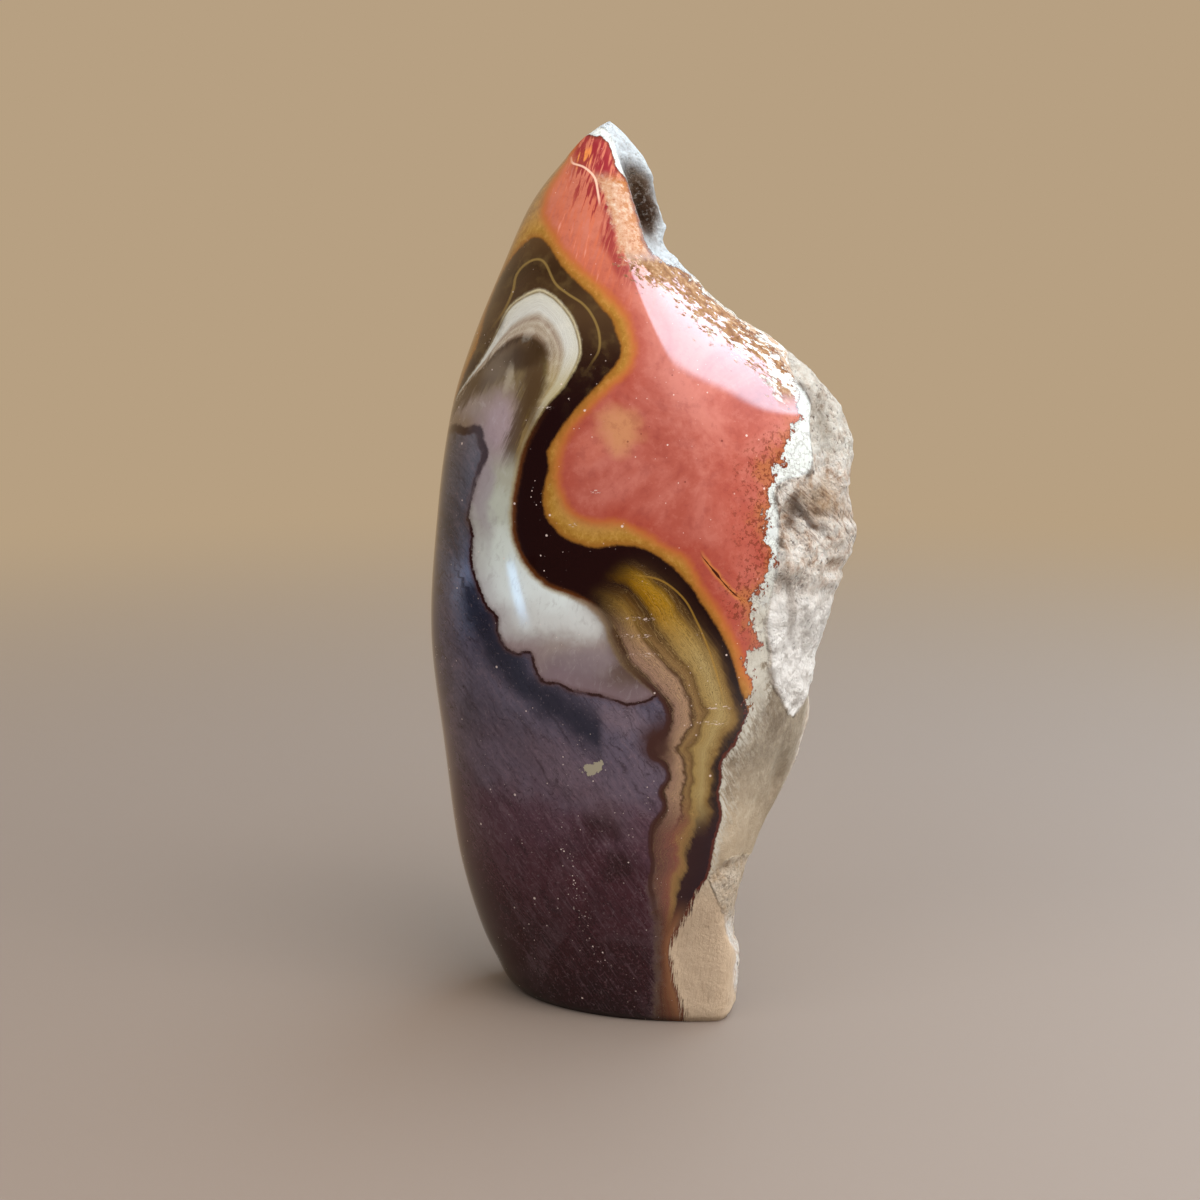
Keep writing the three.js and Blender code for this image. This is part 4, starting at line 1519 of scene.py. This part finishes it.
        rim = ink.ramp(self.yellow, bands.yellow)
        mottle = ink.noise(self.place, 1.3, 6.0, 0.74)
        rim = ink.blend(ink.times(ink.rise(mottle, 0.50, 0.60), ink.rise(self.yellow, 0.2, 1.2), 0.4), rim,
                        bands.rim_mottle_light)
        rim = ink.blend(ink.times(ink.rise(mottle, 0.48, 0.38), ink.rise(self.yellow, 0.2, 1.2), 0.35), rim,
                        bands.rim_mottle_dark)
        orange = ink.blend(ink.rise(self.red, -2.4, 0.2), rim, bands.orange_edge)
        colour = ink.blend(ink.rise(self.red, -0.7, 1.1), orange, self.red_zone())
        colour = ink.blend(ink.rise(self.yellow, 0.25, -0.45), colour, self.dark_zone())
        merging = ink.times(self.height(86.0, 81.0), self.height(62.0, 68.0))
        footing = ink.times(self.height(36.0, 24.0), 4.5)
        softness = ink.total(1.0, ink.times(merging, 5.0), footing)
        soft_pale = ink.ratio(ink.total(self.pale, ink.times(torn, footing, 1.6)), softness)
        colour = ink.blend(ink.rise(soft_pale, -0.3, 0.45), colour, self.pale_zone())
        beside = ink.ratio(ink.total(self.pale, ink.times(torn, footing, 1.6)),
                          ink.total(1.0, footing))
        under = ink.times(ink.rise(self.plum, -0.12, 0.12), ink.rise(beside, -0.2, 0.3))
        colour = ink.blend(under, colour, self.plum_zone())
        return self.lines(colour)

    def lines(self, colour: Socket) -> Socket:
        """Draws the fracture, the wavy brown line and the healed cracks.

        Args:
            colour: The colour beneath.

        Returns:
            The colour with the lines on it.
        """
        ink, bands = self.ink, self.bands
        inside = ink.rise(self.pale, 0.0, 0.6)
        broken = ink.rise(ink.noise(self.place, 4.0, 2.0), 0.36, 0.5)
        gap = ink.size(self.plum)
        wedge = ink.times(self.height(104.0, 117.0), 0.8)
        line = ink.rise(ink.ratio(gap, ink.total(0.42, wedge)), 1.0, 0.35)
        halo = ink.times(ink.rise(gap, 1.1, 0.3), 0.4)
        colour = ink.blend(ink.times(halo, inside), colour, bands.fracture_halo)
        colour = ink.blend(ink.times(line, inside, ink.between(broken, 0.55, 1.0)), colour,
                           bands.fracture)
        wavy_gap = ink.size(self.pale)
        low = self.height(74.0, 66.0)
        wavy = ink.times(ink.rise(wavy_gap, 0.75, 0.2), low, self.height(14.0, 30.0))
        colour = ink.blend(ink.times(wavy, 0.85), colour, bands.wavy_line)
        blob = self.oval((3.6, 55.4), (5.2, 7.0))
        colour = ink.blend(ink.times(blob, 0.95), colour, bands.line_blob)
        from_end = ink.rise(self.across, 11.6, 13.0)
        crack = ink.total(self.crack, ink.times(self.fuzz, 0.3), ink.times(self.wave, 1.4))
        from_end = ink.times(from_end, self.in_front)
        glow = ink.times(ink.rise(crack, 0.9, 0.25), from_end, 0.7)
        colour = ink.blend(glow, colour, bands.crack_glow)
        colour = ink.blend(ink.times(ink.rise(crack, 0.24, 0.1), from_end), colour, bands.crack_line)
        pale_crack = ink.times(ink.rise(self.tip_crack, 0.34, 0.1), self.height(162.4, 165.0),
                               ink.rise(self.across, -14.4, -13.4), self.in_front, 0.8)
        return ink.blend(pale_crack, colour, bands.tip_crack_line)

    def specked(self, colour: Socket) -> tuple[Socket, Socket]:
        """Adds polishing pits, some of them filled with pale powder.

        Args:
            colour: The colour beneath.

        Returns:
            The colour with its specks, and a mask of all that isn't polished.
        """
        ink, bands = self.ink, self.bands
        crowd = ink.rise(ink.noise(self.place, 11.0, 3.0), 0.42, 0.62)
        small = self.scattered(1.15, 0.17, 0.5)
        large = self.scattered(3.4, 0.34, 0.45)
        dark = self.scattered(2.1, 0.3, 0.22)
        white = ink.most(ink.times(small, crowd), large)
        crumbs = self.scattered(0.62, 0.2, 0.6)
        trail = ink.rise(self.frayed(self.pit_trail, 5.0), 1.8, 0.4)
        trail = ink.times(trail, self.height(9.0, 13.0), self.height(39.0, 35.0))
        trail = ink.times(trail, crumbs, self.in_front)
        white = ink.most(ink.times(white, 0.75), ink.most(self.scratch_rows(), trail))
        reddish = ink.times(dark, ink.rise(self.red, 0.5, 3.0), 0.6)
        colour = ink.blend(reddish, colour, bands.red_pit)
        side = ink.times(self.height(70.0, 80.0), self.height(124.0, 114.0))
        side = ink.times(side, ink.rise(self.red, 0.0, 1.5))
        fringe = ink.times(ink.rise(self.frayed(self.rind, 5.0), -3.8, -0.6), side)
        colour = ink.blend(ink.times(fringe, 0.7), colour, bands.fringe)
        freckle = ink.noise(self.place, 0.8, 6.0, 0.75)
        share = ink.times(ink.rise(self.rind, -12.0, -1.5), side)
        freckle = ink.rise(ink.total(freckle, ink.times(share, 0.08)), 0.59, 0.63)
        colour = ink.blend(ink.times(freckle, share, 0.85), colour, bands.freckle)
        colour = ink.blend(white, colour, bands.powder)
        colour, dull = self.weathered_shoulder(colour, white)
        dull = ink.most(dull, ink.times(self.dry, ink.rise(self.yellow, 0.0, 1.0)))
        iron = ink.times(ink.rise(self.rind, -0.75, -0.1), ink.rise(self.rind, 0.4, 0.0), 0.7)
        return ink.blend(iron, colour, self.rinds.iron), dull

    def weathered_shoulder(self, colour: Socket, white: Socket) -> tuple[Socket, Socket]:
        """The worn brown edge along the shoulder, with chips that show white underneath.

        Args:
            colour: The colour beneath.
            white: The mask of pits and chips so far.

        Returns:
            The colour with the worn edge, and a mask of all that isn't polished.
        """
        ink = self.ink
        along = ink.times(self.height(121.0, 127.0), self.height(155.0, 151.0))
        ragged = ink.streaks(self.face, -36, 2.8, 1.0, 7.0, 0.74)
        inward = ink.total(self.rind, ink.times(ink.minus(ragged, 0.5), 26.0))
        worn = ink.times(along, ink.rise(inward, -4.6, -3.8))
        tone = ink.ramp(ink.noise(self.place, 1.8, 6.0, 0.72), self.rinds.worn_edge)
        colour = ink.blend(ink.times(worn, 0.95), colour, tone)
        chips = ink.streaks(self.face, -34, 3.4, 1.2, 6.0, 0.68, 1.3)
        low = ink.between(self.height(144.0, 132.0), 0.0, 0.11)
        chipped = ink.rise(ink.total(chips, low), 0.60, 0.63)
        chipped = ink.times(chipped, along, ink.rise(self.rind, -6.0, -4.0))
        dull = ink.most(white, ink.most(chipped, worn))
        return ink.blend(chipped, colour, self.rinds.rim), dull

    def scratch_rows(self) -> Socket:
        """Short level rows of bright nicks that the wheel left in the polish."""
        ink = self.ink
        nicks = ink.rise(ink.streaks(self.face, 4, 0.8, 0.28, 4.0, 0.8), 0.55, 0.62)
        rows = None
        for middle, half_length in NICK_ROWS:
            mask = self.oval(middle, (half_length, NICK_ROW_REACH), face=self.face)
            rows = mask if rows is None else ink.most(rows, mask)
        return ink.times(ink.rise(rows, 0.15, 0.6), nicks, self.in_front)

    def rind_colour(self) -> tuple[Socket, Socket, Socket]:
        """The rind: cream rim, tan flank, chalky raw lobe and the grey scoop, with shade painted into its
        crevices, its grains' hollows and the scoop.

        Returns:
            The share of rind, the share of raw rind, and the rind's colour.
        """
        ink, rinds = self.ink, self.rinds
        soft_foot = self.height(30.0, 22.0)
        hairs = ink.streaks(self.face, 84, 3.2, 0.22, 4.0, 0.7)
        furred = ink.total(self.rind, ink.times(ink.minus(hairs, 0.5), soft_foot, 6.0))
        rind_share = ink.rise(furred, -0.05, 0.2)
        raw_share = ink.times(ink.rise(self.raw, -0.2, 0.5), rind_share)
        crumbly = ink.noise(self.place, 1.6, 7.0, 0.74)
        drift = ink.streaks(self.face, 62, 14.0, 5.0, 4.0, 0.6)
        flank = ink.ramp(ink.between(0.45, drift, crumbly), rinds.flank)
        flank = ink.blend(soft_foot, flank, rinds.foot)
        turned = ink.rise(self.frayed(self.depth, 12.0), -9.0, 1.0)
        flank = ink.blend(ink.times(turned, 0.75), flank, ink.ramp(crumbly, rinds.raw))
        flank = ink.blend(ink.times(self.height(56.0, 36.0), 0.42), flank, rinds.low_flank)
        strands = ink.streaks(self.face, 118, 2.4, 0.5, 5.0, 0.72)
        near = ink.rise(self.rind, 6.0, 0.5)
        near = ink.times(near, self.height(30.0, 46.0), 0.6)
        flank = ink.blend(ink.times(ink.rise(strands, 0.48, 0.60), near), flank, rinds.low_rim)
        flank = ink.blend(ink.times(ink.rise(hairs, 0.48, 0.36), soft_foot, 0.4), flank,
                          rinds.foot_hair)
        broken = ink.times(self.wave, 3.0)
        rim = ink.times(ink.rise(ink.total(self.rind, broken), 4.2, 2.6), self.height(58.0, 70.0))
        lower_rim = ink.times(ink.rise(self.rind, 1.8, 0.5), ink.rise(strands, 0.40, 0.52),
                              self.height(24.0, 34.0), 0.8)
        tone = ink.blend(self.height(80.0, 96.0), rinds.low_rim, rinds.rim)
        colour = ink.blend(ink.most(rim, lower_rim), flank, tone)
        colour = ink.blend(self.height(92.0, 100.0), colour, tone)
        cloud = ink.rise(ink.noise(self.place, 3.4, 6.0, 0.7), 0.48, 0.62)
        colour = ink.blend(ink.times(cloud, self.height(64.0, 90.0), 0.4), colour,
                           rinds.cloud)
        seams = ink.size(ink.minus(ink.noise(self.place, 2.2, 5.0, 0.6), 0.5))
        colour = ink.blend(ink.times(ink.rise(seams, 0.03, 0.005), self.height(64.0, 80.0), 0.5),
                           colour, rinds.seam)
        raw = self.raw_ground()
        shoulder = ink.times(self.height(126.0, 131.0), self.height(153.0, 149.0))
        brown = ink.rise(ink.noise(self.place, 2.2, 5.0, 0.7), 0.40, 0.54)
        colour = ink.blend(ink.times(shoulder, brown, 0.85), colour, rinds.weathered)
        colour = ink.blend(raw_share, colour, raw)
        # A dark line painted along the edge of the broken ground: painted shade in the crevice between the
        # rim and the raw lobe.
        painted_crevice_shade = ink.times(ink.rise(self.raw, -0.9, 0.1), ink.rise(self.raw, 1.6, 0.3), rind_share)
        painted_crevice_shade = ink.times(painted_crevice_shade, self.height(84.0, 94.0), self.height(134.0, 128.0))
        painted_crevice_shade = ink.times(painted_crevice_shade, ink.rise(ink.noise(self.place, 4.4, 5.0, 0.7), 0.42, 0.56), 0.75)
        return rind_share, raw_share, ink.blend(painted_crevice_shade, colour, rinds.painted_crevice_shade)

    def raw_ground(self) -> Socket:
        """The broken ground: chalky grains with brown pits, rusty patches and a grey scoop, with shade
        painted into the grains' hollows, the crevices by the lobe and the scoop.
        """
        ink, rinds = self.ink, self.rinds
        raw = ink.ramp(ink.noise(self.place, 2.6, 8.0, 0.74), rinds.raw)
        lower = ink.times(self.height(92.0, 80.0), ink.rise(self.lobe, 0.1, 0.6), 0.92)
        raw = ink.blend(ink.times(self.height(110.0, 116.0), 0.4), raw, rinds.upper_raw)
        raw = self.spots(ink.blend(lower, raw, rinds.lower_raw), rinds.raw_stains_and_crevice_shade)
        grooves = ink.streaks(self.face, -42, 6.0, 0.7, 5.0, 0.7)
        middle = ink.times(self.height(92.0, 98.0), self.height(110.0, 105.0))
        raw = ink.blend(ink.times(ink.rise(grooves, 0.50, 0.62), middle, 0.6), raw, rinds.stain)
        stains = ink.rise(ink.noise(self.place, 7.0, 5.0, 0.66), 0.52, 0.64)
        flecks = ink.rise(ink.noise(self.place, 0.9, 5.0, 0.75), 0.46, 0.56)
        raw = ink.blend(ink.times(stains, flecks, ink.between(lower, 0.55, 0.3)), raw, rinds.stain)
        corner = ink.times(self.height(18.0, 23.0), self.height(44.0, 36.0), 0.7)
        raw = ink.blend(corner, raw, rinds.low_flank)
        crowd = ink.between(ink.rise(ink.noise(self.place, 5.0, 3.0), 0.40, 0.60), 0.2, 0.85)
        # Darker where the grain's bump is low: partly the brown of real pits, partly painted shade in the
        # grains' hollows.
        pits = ink.rise(self.grain, 0.45, 0.36)
        kept = ink.between(lower, 1.0, 0.5)
        raw = ink.blend(ink.times(pits, crowd, kept), raw, rinds.pit_and_hollow_shade)
        # The chalk darkens the same way where the grain is low: partly pits, partly painted shade.
        chalk = ink.blend(ink.times(ink.rise(self.grain, 0.46, 0.36), 0.4), rinds.chalk,
                          rinds.chalk_pit_and_hollow_shade)
        # Stain and painted shade laid into the scoop.
        tip = self.spots(chalk, rinds.tip_stains_and_shade)
        crumbs = ink.rise(ink.noise(self.place, 0.9, 5.0, 0.75), 0.53, 0.60)
        tip = ink.blend(ink.times(crumbs, 0.28), tip, rinds.crumb)
        scoop = ink.times(self.height(147.0, 150.0), ink.rise(self.depth, 9.0, 5.0))
        return ink.blend(scoop, raw, tip)

    def relief(self, rind_share: Socket, raw_share: Socket, pits: Socket) -> Socket:
        """Fine relief: grains on the rind, pits and polishing scratches on the rest.

        Args:
            rind_share: The share of rind.
            raw_share: The share of raw rind.
            pits: The mask of polishing pits.

        Returns:
            The shading normal.
        """
        ink = self.ink
        grit = ink.noise(self.place, 0.42, 4.0, 0.7)
        grains = ink.times(self.grain, ink.between(raw_share, 0.30, 1.9))
        grains = ink.total(grains, ink.times(grit, ink.between(raw_share, 0.08, 0.55)))
        chunks = ink.node("ShaderNodeTexVoronoi", feature="F1")
        ink.feed(chunks.inputs["Vector"], self.place)
        chunks.inputs["Scale"].default_value = 0.38
        grains = ink.minus(grains, ink.times(chunks.outputs["Distance"], raw_share, 1.2))
        pocks = self.scattered(1.3, 0.5, 0.35)
        grains = ink.minus(grains, ink.times(pocks, raw_share, 0.25))
        scratches = ink.streaks(self.face, 12, 12.0, 0.12, 2.0)
        smooth = ink.total(ink.times(scratches, 0.004), ink.times(pits, -0.03))
        made = ink.node("ShaderNodeBump")
        made.inputs["Strength"].default_value = 1.0
        made.inputs["Distance"].default_value = MM
        ink.feed(made.inputs["Height"], ink.between(rind_share, smooth, grains))
        return made.outputs["Normal"]


@dataclass(frozen=True)
class SoftBox:
    """A rectangular light, set by its direction from the stone, that lights but isn't mirrored."""

    name: str
    azimuth: float
    elevation: float
    distance: float
    size: Pair
    power: float
    colour: Triple = (1.0, 1.0, 1.0)

    def place(self, aim: Vector) -> None:
        """Makes the light, turned to the stone.

        Args:
            aim: The point that it faces, in metres.
        """
        way = direction(self.azimuth, self.elevation)
        data = bpy.data.lights.new(self.name, "AREA")
        data.shape, data.size, data.size_y = "RECTANGLE", *self.size
        data.energy, data.color = self.power, self.colour
        light = bpy.data.objects.new(self.name, data)
        light.location = aim + way * self.distance
        light.rotation_euler = (-way).to_track_quat("-Z", "Y").to_euler()
        light.visible_glossy = False
        bpy.context.collection.objects.link(light)


@dataclass(frozen=True)
class Glow:
    """A soft-edged bright patch of the room, as the polish mirrors it."""

    facing: float
    azimuths: Pair
    elevations: Pair
    fade: Pair
    mirrored: float
    cast: float
    colour: Colour

    def light(self, ink: Ink, way: Sequence[Socket], azimuth: Socket, glossy: Socket) -> Socket:
        """The patch's light, within straight level edges square to the way that it faces.

        Args:
            ink: Adds nodes to the world.
            way: The direction's x, y and z.
            azimuth: The direction round the stone in degrees, 0 being towards the viewer.
            glossy: Whether a mirrored ray asks.

        Returns:
            The colour and strength of the light in that direction.
        """
        (left, right), (low, high), (side, end) = self.azimuths, self.elevations, self.fade
        x, y, z = way
        turn = math.radians(self.facing)
        ahead = ink.math("SUBTRACT", ink.times(x, math.sin(turn)), ink.times(y, math.cos(turn)))
        elevation = ink.times(ink.math("ARCTAN2", z, ahead), 180.0 / math.pi)
        mask = ink.times(
            ink.rise(azimuth, left - side, left + side), ink.rise(azimuth, right + side, right - side),
            ink.rise(elevation, low - end, low + end), ink.rise(elevation, high + end, high - end),
        )
        strength = ink.times(mask, ink.between(glossy, self.cast, self.mirrored))
        scaled = ink.node("ShaderNodeVectorMath", operation="SCALE")
        scaled.inputs[0].default_value = self.colour[:3]
        ink.feed(scaled.inputs["Scale"], strength)
        return scaled.outputs[0]


def direction(azimuth: float, elevation: float) -> Vector:
    """The unit vector towards an azimuth and elevation in degrees."""
    az, el = math.radians(azimuth), math.radians(elevation)
    return Vector((math.sin(az) * math.cos(el), -math.cos(az) * math.cos(el), math.sin(el)))


@dataclass
class Studio:
    """A pale floor that runs into a plain backdrop, soft light and the camera."""

    view: Viewpoint
    seat: np.ndarray
    boxes: Sequence[SoftBox] = (
        SoftBox("key", 36.0, 46.0, 0.9, (0.8, 0.6), 9.0, (1.0, 0.97, 0.96)),
        SoftBox("top", 150.0, 75.0, 0.9, (0.9, 0.9), 3.0, (1.0, 0.98, 0.95)),
        SoftBox("front_fill", -42.0, 40.0, 1.0, (0.7, 0.6), 4.6, (0.96, 0.98, 1.0)),
        SoftBox("side", 74.0, 14.0, 0.9, (0.6, 0.7), 3.8, (1.0, 0.975, 0.93)),
    )
    glows: Sequence[Glow] = (
        Glow(35.0, (20.0, 168.0), (40.5, 125.0), (4.0, 2.5), 9.6, 0.8, paint(192, 230, 255)),
        Glow(35.0, (2.0, 176.0), (26.0, 130.0), (18.0, 10.0), 0.9, 0.3, paint(255, 236, 240)),
        Glow(-80.0, (-100.0, -66.0), (-4.0, 22.0), (12.0, 10.0), 0.5, 0.2, paint(196, 214, 246)),
    )
    floor_colour: Colour = paint(126, 112, 101)
    backdrop: Colour = paint(183, 160, 130)
    room_front: Colour = paint(44, 42, 42)
    room_back: Colour = paint(166, 142, 112)
    lens: float = 66.0

    def build(self) -> None:
        """Makes the floor, the lights, the surroundings and the camera."""
        aim = Vector((np.array(self.view.aim) + self.seat) * MM)
        self.floor()
        self.window_card()
        for box in self.boxes:
            box.place(aim)
        self.surroundings()
        eye = Vector((self.view.eye() + self.seat) * MM)
        data = bpy.data.cameras.new("camera")
        data.lens, data.sensor_width, data.clip_start = self.lens, 36.0, 0.01
        camera = bpy.data.objects.new("camera", data)
        camera.location = eye
        camera.rotation_euler = (aim - eye).to_track_quat("-Z", "Y").to_euler()
        bpy.context.collection.objects.link(camera)
        bpy.context.scene.camera = camera
        bpy.context.scene.view_settings.view_transform = "Standard"

    def sheet(self, name: str, middle: Vector, size: Pair, facing: Vector) -> bpy.types.Object:
        """A flat sheet.

        Args:
            name: Its name.
            middle: Its middle, in metres.
            size: Its width and height, in metres.
            facing: The way its front faces.

        Returns:
            The sheet.
        """
        w, h = size[0] / 2, size[1] / 2
        mesh = bpy.data.meshes.new(name)
        mesh.from_pydata([(-w, -h, 0), (w, -h, 0), (w, h, 0), (-w, h, 0)], [], [(0, 1, 2, 3)])
        sheet = bpy.data.objects.new(name, mesh)
        sheet.location = middle
        sheet.rotation_euler = facing.to_track_quat("Z", "Y").to_euler()
        bpy.context.collection.objects.link(sheet)
        return sheet

    def floor(self) -> None:
        """The floor, which takes shadows near the stone and fades into the backdrop; as the stone mirrors
        it, it is painted darker in front.
        """
        sheet = self.sheet("floor", Vector((0, 0, 0)), (12.0, 12.0), Vector((0, 0, 1)))
        sheet.rotation_euler = (0.0, 0.0, 0.0)
        material = bpy.data.materials.new("pale_floor")
        material.use_nodes = True
        ink = Ink(material.node_tree)
        place = ink.node("ShaderNodeTexCoord").outputs["Object"]
        cloud = ink.noise(place, 0.05, 3.0)
        shade = ink.blend(ink.times(cloud, 0.10), self.floor_colour, paint(116, 102, 92))
        path = ink.node("ShaderNodeLightPath")
        # Painted reflection: rays mirrored off the stone see the floor darker in front and warmer behind, a
        # painted stand-in for shade in the room.
        behind = ink.rise(ink.parts(place)[1], -0.06, 0.12)
        mirrored = ink.blend(behind, paint(84, 76, 68), paint(116, 96, 76))
        shade = ink.blend(path.outputs["Is Glossy Ray"], shade, mirrored)
        shader = ink.node("ShaderNodeBsdfPrincipled")
        ink.feed(shader.inputs["Base Color"], shade)
        shader.inputs["Roughness"].default_value = 0.6
        away = ink.node("ShaderNodeVectorMath", operation="LENGTH")
        ink.feed(away.inputs[0], place)
        far = ink.rise(away.outputs["Value"], 0.18, 0.75)
        glow = ink.node("ShaderNodeEmission")
        ink.feed(glow.inputs["Color"],
                 ink.blend(path.outputs["Is Camera Ray"],
                           ink.blend(behind, self.room_front, self.room_back), self.backdrop))
        mixed = ink.node("ShaderNodeMixShader")
        ink.feed(mixed.inputs[0], far)
        ink.feed(mixed.inputs[1], shader.outputs[0])
        ink.feed(mixed.inputs[2], glow.outputs[0])
        ink.feed(ink.node("ShaderNodeOutputMaterial").inputs["Surface"], mixed.outputs[0])
        sheet.data.materials.append(material)

    def window_card(self) -> None:
        """A small bright card low on the left, seen only as a streak in the polish."""
        way = direction(-56.0, -6.2)
        middle = Vector((-0.012, -0.02, 0.084)) + way * 0.40
        sheet = self.sheet("window_card", middle, (0.12, 0.05), -way)
        sheet.visible_camera = sheet.visible_diffuse = sheet.visible_shadow = False
        material = bpy.data.materials.new("window_card")
        material.use_nodes = True
        ink = Ink(material.node_tree)
        parts = ink.node("ShaderNodeSeparateXYZ")
        ink.feed(parts.inputs[0], ink.node("ShaderNodeTexCoord").outputs["Object"])
        x, y, _ = parts.outputs
        slant = ink.math("SUBTRACT", x, ink.times(y, 1.72))
        across = ink.rise(ink.math("ABSOLUTE", slant), 0.020, 0.012)
        up = ink.times(ink.rise(y, 0.022, 0.017), ink.rise(y, -0.025, -0.004))
        glow = ink.node("ShaderNodeEmission")
        glow.inputs["Color"].default_value = paint(158, 208, 255)
        ink.feed(glow.inputs["Strength"], ink.times(across, up, 8.0))
        ink.feed(ink.node("ShaderNodeOutputMaterial").inputs["Surface"], glow.outputs[0])
        sheet.data.materials.append(material)

    def surroundings(self) -> None:
        """A plain backdrop for the camera, and a dimmer room with soft glows for the stone."""
        world = bpy.data.worlds.new("studio")
        world.use_nodes = True
        bpy.context.scene.world = world
        ink = Ink(world.node_tree)
        parts = ink.node("ShaderNodeSeparateXYZ")
        ink.feed(parts.inputs[0], ink.node("ShaderNodeTexCoord").outputs["Generated"])
        x, y, z = parts.outputs
        azimuth = ink.times(ink.math("ARCTAN2", x, ink.times(y, -1.0)), 180.0 / math.pi)
        path = ink.node("ShaderNodeLightPath")
        room = ink.blend(ink.rise(y, -0.6, 0.5), self.room_front, self.room_back)
        for glow in self.glows:
            light = glow.light(ink, (x, y, z), azimuth, path.outputs["Is Glossy Ray"])
            added = ink.node("ShaderNodeVectorMath", operation="ADD")
            ink.feed(added.inputs[0], room)
            ink.feed(added.inputs[1], light)
            room = added.outputs[0]
        background = ink.node("ShaderNodeBackground")
        seen = path.outputs["Is Camera Ray"]
        ink.feed(background.inputs["Color"], ink.blend(seen, room, self.backdrop))
        ink.feed(ink.node("ShaderNodeOutputWorld").inputs["Surface"], background.outputs[0])


def main() -> None:
    """Builds the stone and its studio."""
    logging.basicConfig(level=logging.INFO, format="%(name)s: %(message)s")
    skin = Skin()
    stone = skin.build()
    stone.data.materials.append(JasperFinish().make())
    LOG.info("finish: %d nodes", len(stone.data.materials[0].node_tree.nodes))
    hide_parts(NODE)
    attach(stone, BODY)
    Studio(skin.view, skin.seat()).build()


if __name__ == "__main__":
    main()
